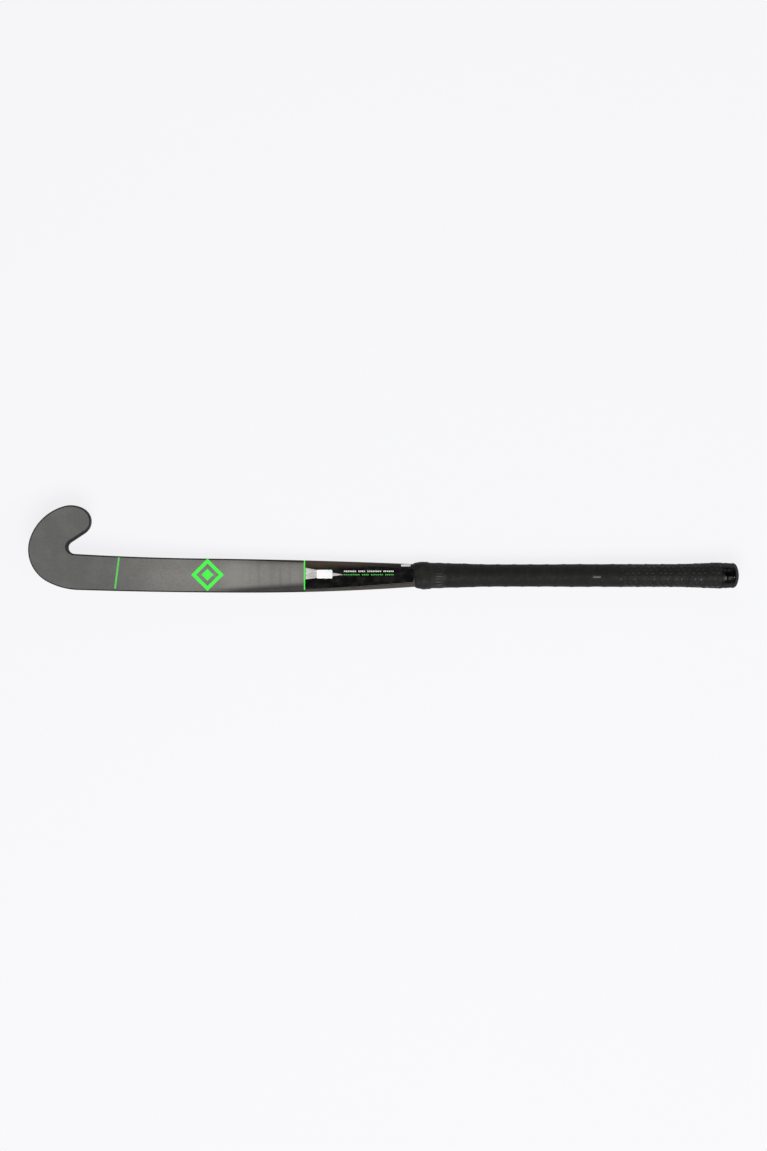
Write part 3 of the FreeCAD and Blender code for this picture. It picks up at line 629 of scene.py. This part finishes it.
def collar_section(x, turn):
    """Radius of the laminate under the collar, easing from a rounded rectangle to a circle."""
    share = np.clip((x - NECK) / (HANDLE_START - NECK), 0, 1)
    half_width = NECK_HALF_WIDTH + (HANDLE_START_RADIUS - NECK_HALF_WIDTH) * share
    half_height = HALF_THICKNESS + (HANDLE_START_RADIUS - HALF_THICKNESS) * share
    power = 3.3 + (2 - 3.3) * share
    cosine = np.abs(np.cos(2 * math.pi * turn)) / half_width
    sine = np.abs(np.sin(2 * math.pi * turn)) / half_height
    return (cosine ** power + sine ** power) ** (-1 / power)


def collar_thickness(x, turn):
    """Tape and foam bulge of the collar: its laps, fuller heel side, flat back and small lumps."""
    lean = x - COLLAR_LEAN * math.cos(2 * math.pi * turn)
    heel_side = (1 - math.sin(math.pi * turn)) ** 2
    lip = 0.5 * MM + 1.15 * MM * math.sqrt(float(smooth_step(*COLLAR_LIP, lean)))
    bulge = 1.0 * MM * float(smooth_step(*BULGE_RISE, lean) * (1 - smooth_step(*BULGE_FALL, lean)))
    bulge -= 0.95 * MM * max(0.0, -math.sin(2 * math.pi * turn)) ** 2
    bulge += 0.45 * MM * heel_side * math.exp(-((x - HEEL_BULGE) / (3.0 * MM)) ** 2)
    band = 0.6 * MM * float(smooth_step(*COLLAR_BAND, lean))
    band -= 0.15 * MM * float(smooth_step(*COLLAR_THINNING, x))
    place = Vector((x * 140, math.cos(2 * math.pi * turn) * 2.2, math.sin(2 * math.pi * turn) * 2.2))
    lumps = 0.16 * MM * noise.noise(place)
    return lip + bulge + band + lumps + CREASE_DEPTH * crease(x, turn)


def crease(x, turn):
    """Share, 0 to 1, of the short creases along the stick where the tape is drawn in before the grip."""
    reach = math.exp(-((x - CREASE_MIDDLE) / (4.4 * MM)) ** 4)
    uneven = 0.65 + 0.5 * noise.noise(Vector((turn * 23, 4.0, 0)))
    wander = 0.25 * noise.noise(Vector((x * 110, turn * 9, 2.0)))
    ridge = max(0.0, math.cos(2 * math.pi * (turn * CREASES + wander))) ** 1.3
    return reach * uneven * ridge


def collar_place(share, turn):
    """Station of a collar point: `share` runs from 0 at the leaning lip to 1 at the grip."""
    lip = COLLAR_START + COLLAR_LEAN * math.cos(2 * math.pi * turn)
    return lip + (COLLAR_END - lip) * share


def make_collar(material):
    """Tape collar over the neck, from its leaning lip to the first turn of the grip."""
    columns = 257
    turns = np.linspace(0, 1, columns)
    vertices, tones = [], []
    for share in np.linspace(0, 1, COLLAR_RINGS):
        for turn in turns:
            x = collar_place(share, turn)
            radius = float(collar_section(x, turn % 1)) + collar_thickness(x, turn % 1)
            vertices.append(tuple(map(float, wound_point(x, radius, turn))))
            tones.append(crease(x, turn % 1))
    first = vertices[:columns]
    for share in np.linspace(1, 0, BORE_RINGS):
        for turn in turns:
            x = collar_place(share, turn)
            radius = float(collar_section(x, turn % 1)) - 0.1 * MM
            vertices.append(tuple(map(float, wound_point(x, radius, turn))))
    vertices += first
    faces = grid_faces(len(vertices) // columns, columns, False)
    tones += [0.0] * (len(vertices) - len(tones))
    return make_piece("collar", vertices, faces, [material], "collar_tape", tones=tones)


def cap_profile():
    """Half section of the cap: skirt, rib, band, groove and dome, ending on the axis."""
    inner = BUTT_RADIUS + 0.2 * MM
    points = [(CAP_START, inner)]
    for x in np.linspace(CAP_START, CAP_SHOULDER, 54):
        rib = CAP_RIB_HEIGHT * math.exp(-((x - CAP_RIB) / (0.9 * MM)) ** 2)
        groove = CAP_GROOVE_DEPTH * math.exp(-((x - CAP_GROOVE) / (0.6 * MM)) ** 2)
        lip = CAP_LIP * math.exp(-(x - CAP_START) / (0.35 * MM))
        slope = CAP_BAND_DROP * float(smooth_step(CAP_RIB, CAP_GROOVE, x))
        points.append((float(x), CAP_RADIUS + rib - slope - groove - lip))
    centre_r = CAP_RADIUS - CAP_SHOULDER_RADIUS
    rise = BUTT_END - CAP_SHOULDER
    # The crown passes through the butt's end on the axis and touches the shoulder's arc.
    crown = rise ** 2 + centre_r ** 2 - CAP_SHOULDER_RADIUS ** 2
    crown /= 2 * (rise - CAP_SHOULDER_RADIUS)
    touch = math.atan2(centre_r, CAP_SHOULDER - BUTT_END + crown)
    for angle in np.linspace(math.pi / 2, touch, 15):
        points.append((CAP_SHOULDER + CAP_SHOULDER_RADIUS * math.cos(angle),
                       centre_r + CAP_SHOULDER_RADIUS * math.sin(angle)))
    for angle in np.linspace(touch, 0, 11)[1:]:
        points.append((BUTT_END - crown + crown * math.cos(angle), crown * math.sin(angle)))
    return points + [(TUBE_END, 0), (TUBE_END, inner), (CAP_START, inner)]


def make_cap(material):
    """Rubber end cap, turned about the handle's axis."""
    columns = 129
    turns = np.linspace(0, 1, columns)
    vertices = []
    for x, radius in cap_profile():
        vertices += [tuple(map(float, wound_point(x, max(radius, 0.0), turn))) for turn in turns]
    faces = grid_faces(len(vertices) // columns, columns, False)
    return make_piece("end_cap", vertices, faces, [material], "butt_cap")


# ---------------------------------------------------------------- materials

def srgb(red, green, blue):
    """Linear colour from display values of 0 to 255."""
    def linear(value):
        share = value / 255
        return share / 12.92 if share <= 0.04045 else ((share + 0.055) / 1.055) ** 2.4
    return linear(red), linear(green), linear(blue), 1.0


class Paint:
    """A Principled material and the few node patterns that the finishes are built from.

    Patterns are placed in the stick's design frame, so `axis("X")` is a station along the stick.
    """

    def __init__(self, name, roughness, **constants):
        self.material = bpy.data.materials.new(name)
        self.material.use_nodes = True
        self.tree = self.material.node_tree
        self.shader = self.tree.nodes["Principled BSDF"]
        self.shader.inputs["Roughness"].default_value = roughness
        for socket, value in constants.items():
            self.shader.inputs[socket.replace("_", " ")].default_value = value
        place = self.tree.nodes.new("ShaderNodeTexCoord").outputs["Object"]
        design = self.tree.nodes.new("ShaderNodeMapping")
        design.vector_type = "TEXTURE"
        design.inputs["Location"].default_value = STICK.translation
        design.inputs["Rotation"].default_value = STICK.to_euler()
        self.tree.links.new(place, design.inputs["Vector"])
        self.place = design.outputs["Vector"]

    def link(self, value, socket):
        if hasattr(value, "links"):
            self.tree.links.new(value, socket)
        else:
            socket.default_value = value

    def stretched(self, scale):
        """Object coordinates scaled per axis, for patterns that run along or across the stick."""
        node = self.tree.nodes.new("ShaderNodeMapping")
        node.inputs["Scale"].default_value = scale
        self.link(self.place, node.inputs["Vector"])
        return node.outputs["Vector"]

    def noise(self, scale, detail=2.0, rough=0.5, place=None):
        node = self.tree.nodes.new("ShaderNodeTexNoise")
        node.inputs["Scale"].default_value = scale
        node.inputs["Detail"].default_value = detail
        node.inputs["Roughness"].default_value = rough
        self.link(place or self.place, node.inputs["Vector"])
        return node.outputs["Fac"]

    def cells(self, scale):
        node = self.tree.nodes.new("ShaderNodeTexVoronoi")
        node.inputs["Scale"].default_value = scale
        self.link(self.place, node.inputs["Vector"])
        return node.outputs["Distance"]

    def math(self, operation, first, second=0.0):
        node = self.tree.nodes.new("ShaderNodeMath")
        node.operation = operation
        self.link(first, node.inputs[0])
        self.link(second, node.inputs[1])
        return node.outputs["Value"]

    def span(self, value, low, high, to_low=0.0, to_high=1.0):
        """Maps low..high smoothly to to_low..to_high and holds it outside."""
        node = self.tree.nodes.new("ShaderNodeMapRange")
        node.interpolation_type = "SMOOTHSTEP"
        self.link(value, node.inputs["Value"])
        for socket, number in zip(("From Min", "From Max", "To Min", "To Max"), (low, high, to_low, to_high)):
            node.inputs[socket].default_value = number
        return node.outputs["Result"]

    def axis(self, name):
        node = self.tree.nodes.new("ShaderNodeSeparateXYZ")
        self.link(self.place, node.inputs["Vector"])
        return node.outputs[name]

    def leaning(self, station, slope):
        """Distance across the stick from a line that leaves its axis at a station with a slope."""
        run = self.math("MULTIPLY", self.math("SUBTRACT", self.axis("X"), station), slope)
        return self.math("SUBTRACT", self.axis("Y"), run)

    def bell(self, value, middle, half_width):
        """1 at the middle, falling smoothly to 0 at half_width on either side."""
        away = self.math("ABSOLUTE", self.math("SUBTRACT", value, middle))
        return self.span(away, 0.0, half_width, 1.0, 0.0)

    def rim(self, flat, steep):
        """0 where the surface lies flat, 1 where it stands: by the upright part of its normal."""
        normal = self.tree.nodes.new("ShaderNodeTexCoord").outputs["Normal"]
        node = self.tree.nodes.new("ShaderNodeSeparateXYZ")
        self.link(normal, node.inputs["Vector"])
        return self.span(self.math("ABSOLUTE", node.outputs["Z"]), flat, steep)

    def tone(self):
        node = self.tree.nodes.new("ShaderNodeAttribute")
        node.attribute_name = "tone"
        return node.outputs["Fac"]

    def mix(self, share, first, second):
        node = self.tree.nodes.new("ShaderNodeMix")
        node.data_type = "RGBA"
        self.link(share, node.inputs["Factor"])
        self.link(first, node.inputs["A"])
        self.link(second, node.inputs["B"])
        return node.outputs["Result"]

    def colour(self, value):
        self.link(value, self.shader.inputs["Base Color"])

    def roughness(self, value):
        self.link(value, self.shader.inputs["Roughness"])

    def bump(self, *layers):
        """Stacks (height, depth in metres, strength) layers, each over the one before."""
        normal = None
        for height, depth, strength in layers:
            node = self.tree.nodes.new("ShaderNodeBump")
            node.inputs["Distance"].default_value = depth
            node.inputs["Strength"].default_value = strength
            self.link(height, node.inputs["Height"])
            if normal:
                self.link(normal, node.inputs["Normal"])
            normal = node.outputs["Normal"]
        self.link(normal, self.shader.inputs["Normal"])


def matte_coat():
    """Grey textured coat of the head and lower shaft, with painted light and shade: lighter up the shaft and
    along its middle, dark on its rims and rounded edges.
    """
    paint = Paint("matte_coat", 0.62, Specular_IOR_Level=0.25)
    along, side = paint.axis("X"), paint.axis("Y")
    # Painted light: the ramp from the head's grey to the shaft's grey makes the shaft lighter, standing in
    # for how the light falls on the tilted head and the shaft.
    base = paint.mix(paint.span(along, 0.095, 0.20), srgb(*HEAD_GREY), srgb(*SHAFT_GREY))
    # Painted highlight: a broad lighter streak along the middle of the shaft.
    centre = paint.math("MULTIPLY", paint.bell(side, 0.0, 0.015), paint.span(along, 0.11, 0.24))
    base = paint.mix(paint.math("MULTIPLY", centre, 0.45), base, srgb(*COAT_LIGHT))
    mottle = paint.span(paint.noise(420, 3, 0.6), 0.35, 0.68)
    base = paint.mix(paint.math("MULTIPLY", mottle, 0.26), base, srgb(*COAT_DARK))
    cloud = paint.span(paint.noise(38, 3, 0.55), 0.40, 0.72)
    base = paint.mix(paint.math("MULTIPLY", cloud, 0.12), base, srgb(*COAT_LIGHT))
    bands = paint.span(paint.noise(60, 2, 0.5, paint.stretched((1.6, 0.12, 0.12))), 0.42, 0.66)
    on_shaft = paint.math("MULTIPLY", paint.span(along, 0.20, 0.27), 0.50)
    base = paint.mix(paint.math("MULTIPLY", bands, on_shaft), base, srgb(*COAT_BAND))
    # Painted highlight: a soft lighter band right across the shaft about station 273 mm.
    worn = paint.math("MULTIPLY", paint.bell(along, 0.273, 0.035), 0.55)
    base = paint.mix(worn, base, srgb(*COAT_LIGHT))
    # Painted shade: the shaft darkens towards its heel-side rounding and its toe-side edge, more so up the
    # shaft.
    low_edge_shade = paint.math("MULTIPLY", paint.span(paint.leaning(0.36, 0.065), -0.0065, -0.0145),
                          paint.span(along, 0.20, 0.28, 0.0, 0.95))
    high_edge_shade = paint.math("MULTIPLY", paint.span(side, 0.012, 0.0190),
                           paint.span(along, 0.20, 0.36, 0.0, 0.60))
    base = paint.mix(paint.math("MAXIMUM", low_edge_shade, high_edge_shade), base, srgb(*COAT_EDGE_SHADE))
    # Painted shade on the laminate's steep walls and rims.
    base = paint.mix(paint.rim(0.996, 0.91), base, srgb(*COAT_RIM_SHADE))
    paint.colour(base)
    paint.roughness(paint.span(paint.noise(160, 3), 0.3, 0.7, 0.54, 0.70))
    paint.bump((paint.noise(1500, 3, 0.6), 0.00006, 0.55), (paint.noise(520, 2), 0.00010, 0.35))
    return paint.material


def gloss_lacquer():
    """Deep black lacquer of the upper shaft, with painted brown reflections towards the toe's side and on the
    heel's edge.
    """
    paint = Paint("gloss_lacquer", 0.14, Specular_IOR_Level=0.32)
    along, side = paint.axis("X"), paint.axis("Y")
    # Painted reflection: a brown sheen over the toe's side of the lacquer, fading up the shaft.
    brown = paint.math("MULTIPLY", paint.span(paint.leaning(0.36, 0.045), 0.005, 0.014),
                       paint.span(along, 0.41, 0.50, 1.0, 0.4))
    base = paint.mix(brown, srgb(*LACQUER_BLACK), srgb(*LACQUER_BROWN_REFLECTION))
    # Painted reflection: a paler brown strip on the heel-side rounding of the lacquer.
    heel_edge_reflection = paint.math("MULTIPLY", paint.rim(0.99, 0.90), paint.span(side, -0.004, -0.008))
    base = paint.mix(heel_edge_reflection, base, srgb(*LACQUER_EDGE_REFLECTION))
    grain = paint.span(paint.noise(300, 3, 0.6, paint.stretched((0.12, 1.0, 1.0))), 0.45, 0.75)
    base = paint.mix(paint.math("MULTIPLY", grain, 0.30), base, srgb(*LACQUER_GRAIN))
    paint.colour(base)
    haze = paint.span(paint.noise(90, 3), 0.35, 0.7, 0.12, 0.24)
    paint.roughness(paint.math("ADD", haze, paint.math("MULTIPLY", paint.rim(0.9997, 0.985), 0.42)))
    paint.bump((paint.noise(220, 2, 0.5, paint.stretched((0.3, 1.0, 1.0))), 0.00005, 0.25))
    return paint.material


def print_ink(name, fresh, worn):
    """Printed film: even ink with fine grain, a few worn spots and a slight thickness of its own."""
    paint = Paint(name, 0.42, Specular_IOR_Level=0.4)
    spots = paint.span(paint.noise(900, 3, 0.6), 0.52, 0.70)
    paint.colour(paint.mix(paint.math("MULTIPLY", spots, 0.25), srgb(*fresh), srgb(*worn)))
    paint.roughness(paint.span(paint.noise(260, 2), 0.3, 0.7, 0.36, 0.50))
    paint.bump((paint.noise(1400, 2), 0.00003, 0.35))
    return paint.material


def silver_print():
    """Silver print of the tail graphic, brushed along the stick with dark flecks."""
    paint = Paint("silver_print", 0.38, Metallic=0.1)
    brushed = paint.span(paint.noise(500, 3, 0.6, paint.stretched((0.25, 1.0, 1.0))), 0.30, 0.68)
    flecks = paint.span(paint.noise(1100, 3, 0.7), 0.50, 0.66)
    base = paint.mix(brushed, srgb(166, 165, 162), srgb(212, 210, 207))
    paint.colour(paint.mix(paint.math("MULTIPLY", flecks, 0.30), base, srgb(104, 103, 101)))
    paint.bump((brushed, 0.00003, 0.4))
    return paint.material


def label_foil():
    """Pearly blank label with a cool tint that grows towards one corner."""
    paint = Paint("label_foil", 0.30, Coat_Weight=0.2, Coat_Roughness=0.12)
    corner = paint.math("ADD", paint.axis("X"), paint.math("MULTIPLY", paint.axis("Y"), 2.0))
    drift = paint.span(corner, 0.396, 0.412)
    tint = paint.math("MULTIPLY", drift, paint.span(paint.noise(160, 2), 0.25, 0.6, 0.55, 1.0))
    paint.colour(paint.mix(tint, srgb(252, 252, 251), srgb(196, 244, 240)))
    paint.bump((paint.noise(300, 2), 0.00003, 0.3))
    return paint.material


def grip_rubber(name, base, crest, roughness, polish):
    """Soft polyurethane tape: fine grain, a matte skin, lighter raised edges and painted highlights in its
    dimple floors.

    `polish` is how much smoother the dimples' floors are; some of them are more worn than others.
    """
    paint = Paint(name, roughness, Specular_IOR_Level=0.2)
    cloud = paint.span(paint.noise(70, 3, 0.55), 0.40, 0.72)
    body = paint.mix(paint.math("MULTIPLY", cloud, 0.4), srgb(*base), srgb(*crest))
    # The tone lightens the raised lap edges and paints highlights in the dimple floors.
    paint.colour(paint.mix(paint.math("MULTIPLY", paint.tone(), 0.8), body, srgb(*crest)))
    worn = paint.math("MULTIPLY", paint.tone(), paint.span(paint.noise(80, 2), 0.42, 0.58, 0.0, polish))
    skin = paint.span(paint.noise(180, 3), 0.3, 0.7, roughness - 0.07, roughness + 0.07)
    paint.roughness(paint.math("SUBTRACT", skin, worn))
    paint.bump((paint.cells(1900), 0.00005, 0.35), (paint.noise(260, 3), 0.00012, 0.30))
    return paint.material


def collar_rubber():
    """Stretched collar tape, with the crests of its creases paler on the side that faces the light."""
    paint = Paint("collar_rubber", 0.60, Specular_IOR_Level=0.15)
    cloud = paint.span(paint.noise(110, 3, 0.6), 0.38, 0.72)
    body = paint.mix(cloud, srgb(26, 26, 25), srgb(38, 38, 37))
    lit_side = paint.span(paint.axis("Y"), 0.006, -0.002, 0.1, 0.9)
    paint.colour(paint.mix(paint.math("MULTIPLY", paint.tone(), lit_side), body, srgb(92, 92, 90)))
    paint.bump((paint.noise(240, 3, 0.6), 0.00022, 0.45),
               (paint.cells(1500), 0.00004, 0.35))
    paint.roughness(paint.span(paint.noise(200, 3), 0.3, 0.7, 0.50, 0.66))
    return paint.material


def cap_rubber():
    """Glossy moulded rubber with faint handling marks, duller on its skirt, band and steep sides."""
    paint = Paint("cap_rubber", 0.16, Specular_IOR_Level=0.20)
    scuffs = paint.span(paint.noise(320, 3, 0.65), 0.55, 0.75)
    paint.colour(paint.mix(paint.math("MULTIPLY", scuffs, 0.4), srgb(2, 2, 2), srgb(8, 8, 8)))
    skirt = paint.span(paint.axis("X"), CAP_RIB - 2.1 * MM, CAP_RIB - 0.9 * MM, 0.30, 0.0)
    band = paint.math("MULTIPLY", paint.bell(paint.axis("X"), CAP_BAND, 2.6 * MM), 0.10)
    marks = paint.span(paint.noise(140, 3), 0.35, 0.75, 0.07, 0.13)
    upright = paint.math("MULTIPLY", paint.rim(0.80, 0.35), 0.6)
    dull = paint.math("MAXIMUM", upright, paint.math("MAXIMUM", skirt, band))
    paint.roughness(paint.math("ADD", marks, dull))
    paint.bump((paint.noise(500, 2), 0.00003, 0.25))
    return paint.material


def hidden_finish(name, first, second, scale, roughness, depth):
    """Finish of the pieces inside the stick: a grain of two colours with matching bumps."""
    paint = Paint(name, roughness)
    grain = paint.cells(scale)
    paint.colour(paint.mix(paint.span(grain, 0.15, 0.65), srgb(*first), srgb(*second)))
    paint.bump((grain, depth, 0.6))
    return paint.material


def floor_finish():
    """Pale, slightly backlit studio sheet with a barely visible tooth."""
    paint = Paint("floor_sheet", 0.9, Specular_IOR_Level=0.0, Emission_Color=srgb(*FLOOR_GLOW_COLOUR),
                  Emission_Strength=FLOOR_GLOW)
    paint.colour(paint.mix(paint.noise(3.0, 2), srgb(*FLOOR_COLOUR), srgb(*FLOOR_COLOUR_SHADE)))
    paint.bump((paint.noise(900, 2), 0.00003, 0.1))
    return paint.material


# ---------------------------------------------------------------- stage

def make_floor():
    """One large sheet that the stick lies on."""
    mesh = bpy.data.meshes.new("floor")
    half = FLOOR_SIZE / 2
    corners = [(-half, -half, 0), (half, -half, 0), (half, half, 0), (-half, half, 0)]
    mesh.from_pydata(corners, [], [(0, 1, 2, 3)])
    mesh.materials.append(floor_finish())
    floor = bpy.data.objects.new("floor", mesh)
    bpy.context.scene.collection.objects.link(floor)


def make_camera(low, high):
    """Straight above the stick, with the head on the left and the toe towards the top of the picture."""
    camera = bpy.data.cameras.new("camera")
    camera.lens = LENS
    camera.sensor_width = SENSOR
    level = low.z + (high.z - low.z) * FRAME_LEVEL
    distance = FRAME_HEIGHT * LENS / SENSOR
    holder = bpy.data.objects.new("camera", camera)
    holder.location = ((low.x + high.x) / 2 - FRAME_SHIFT, STICK.translation.y, level + distance)
    bpy.context.scene.collection.objects.link(holder)
    bpy.context.scene.camera = holder


def add_softbox(name, place, aim, size, power):
    """A rectangular area light at a place, turned towards its aim."""
    light = bpy.data.lights.new(name, "AREA")
    light.shape = "RECTANGLE"
    light.size, light.size_y = size
    light.energy = power
    holder = bpy.data.objects.new(name, light)
    holder.location = place
    holder.rotation_euler = (Vector(aim) - Vector(place)).to_track_quat("-Z", "Y").to_euler()
    bpy.context.scene.collection.objects.link(holder)


def make_sky():
    """Soft room light, stronger from the heel's side, with a dark patch overhead for the lacquer."""
    world = bpy.data.worlds.new("studio")
    world.use_nodes = True
    tree = world.node_tree
    background = tree.nodes["Background"]
    place = tree.nodes.new("ShaderNodeTexCoord")
    split = tree.nodes.new("ShaderNodeSeparateXYZ")
    tree.links.new(place.outputs["Generated"], split.inputs["Vector"])

    def smooth_range(value, low, high, to_low, to_high):
        node = tree.nodes.new("ShaderNodeMapRange")
        node.interpolation_type = "SMOOTHSTEP"
        tree.links.new(value, node.inputs["Value"])
        for socket, number in zip(("From Min", "From Max", "To Min", "To Max"), (low, high, to_low, to_high)):
            node.inputs[socket].default_value = number
        return node.outputs["Result"]

    def joined(operation, first, second):
        node = tree.nodes.new("ShaderNodeMath")
        node.operation = operation
        tree.links.new(first, node.inputs[0])
        tree.links.new(second, node.inputs[1])
        return node.outputs["Value"]

    sideways = smooth_range(split.outputs["Y"], -0.75, 0.75, SKY_HEEL_SIDE, SKY_TOE_SIDE)
    overhead = smooth_range(split.outputs["Z"], SKY_EDGE, SKY_DARK, 1.0, SKY_ZENITH)
    horizon = smooth_range(split.outputs["Z"], *SKY_BAND, SKY_HORIZON, 0.0)
    room = joined("MULTIPLY", sideways, overhead)
    tree.links.new(joined("MAXIMUM", room, horizon), background.inputs["Strength"])
    background.inputs["Color"].default_value = (1.0, 1.0, 1.01, 1.0)
    bpy.context.scene.world = world


def light_studio():
    """A broad key from the heel's side, a weak fill from the toe's side and a small light for the cap."""
    make_sky()
    add_softbox("key", (0.0, -1.35, 2.75), (0.0, 0.0, 0.0), (1.8, 1.7), 74)
    add_softbox("toe_fill", (0.0, 2.2, 1.9), (0.0, 0.0, 0.0), (2.4, 1.4), 10)
    add_softbox("butt_side", (2.7, -0.9, 2.6), (0.45, 0.0, 0.0), (0.45, 0.45), 20)


# ---------------------------------------------------------------- the stick

def finish_node(name, material):
    """Gives a CAD node that stays as it is its procedural material."""
    node = frame["nodes"][name]
    if not node.material_slots:
        node.data.materials.append(material)
    for slot in node.material_slots:
        slot.link = "OBJECT"
        slot.material = material


def make_stick():
    """The five finely modelled pieces, each in place of its CAD node."""
    make_laminate(matte_coat(), gloss_lacquer())
    make_collar(collar_rubber())
    smooth = grip_rubber("smooth_rubber", (21, 21, 20), (31, 31, 29), 0.68, 0.0)
    make_tape("smooth_grip", COLLAR_END, GRIP_CHANGE, *SMOOTH_GRID, smooth_relief,
              smooth, "smooth_grip_tape", "smooth_grip")
    # Its crest colour is also the painted highlight of the dimple floors.
    dimpled = grip_rubber("dimpled_rubber", (20, 20, 19), (36, 36, 34), 0.60, 0.50)
    make_tape("dimpled_grip", GRIP_CHANGE, CAP_START, *DIMPLED_GRID, dimpled_relief,
              dimpled, "dimpled_grip_tape", "dimpled_grip")
    make_cap(cap_rubber())


def finish_nodes():
    """Materials of the CAD nodes that stay as they are: prints, foams, tubes and adhesive."""
    lime = print_ink("lime_print", (58, 250, 62), (52, 220, 56))
    finish_node("lower_pinstripe", print_ink("dull_lime_print", (88, 204, 80), (74, 160, 68)))
    for name in ("upper_pinstripe", "emblem_decal"):
        finish_node(name, lime)
    finish_node("green_print_dashes", print_ink("deep_lime_print", (62, 188, 62), (48, 150, 50)))
    white = print_ink("white_print", (226, 228, 224), (170, 172, 168))
    for name in ("white_print_dashes", "edge_print_bar"):
        finish_node(name, white)
    finish_node("grip_print_bar", print_ink("grey_print", (62, 62, 60), (42, 42, 41)))
    finish_node("tail_graphic", silver_print())
    finish_node("blank_label", label_foil())
    foam = hidden_finish("rigid_foam", (214, 196, 150), (176, 156, 112), 900, 0.85, 0.0003)
    for name in ("head_foam_core", "handle_foam_core"):
        finish_node(name, foam)
    bare = hidden_finish("bare_laminate", (26, 27, 28), (48, 49, 50), 500, 0.42, 0.0001)
    for name in ("toe_side_tube", "heel_side_tube"):
        finish_node(name, bare)
    glue = hidden_finish("adhesive", (196, 188, 168), (168, 160, 140), 700, 0.6, 0.0001)
    finish_node("grip_adhesive_layer", glue)


def main():
    make_stick()
    finish_nodes()
    make_floor()
    make_camera(cad_low, cad_high)
    light_studio()
    bpy.context.scene.view_settings.view_transform = "Standard"


main()
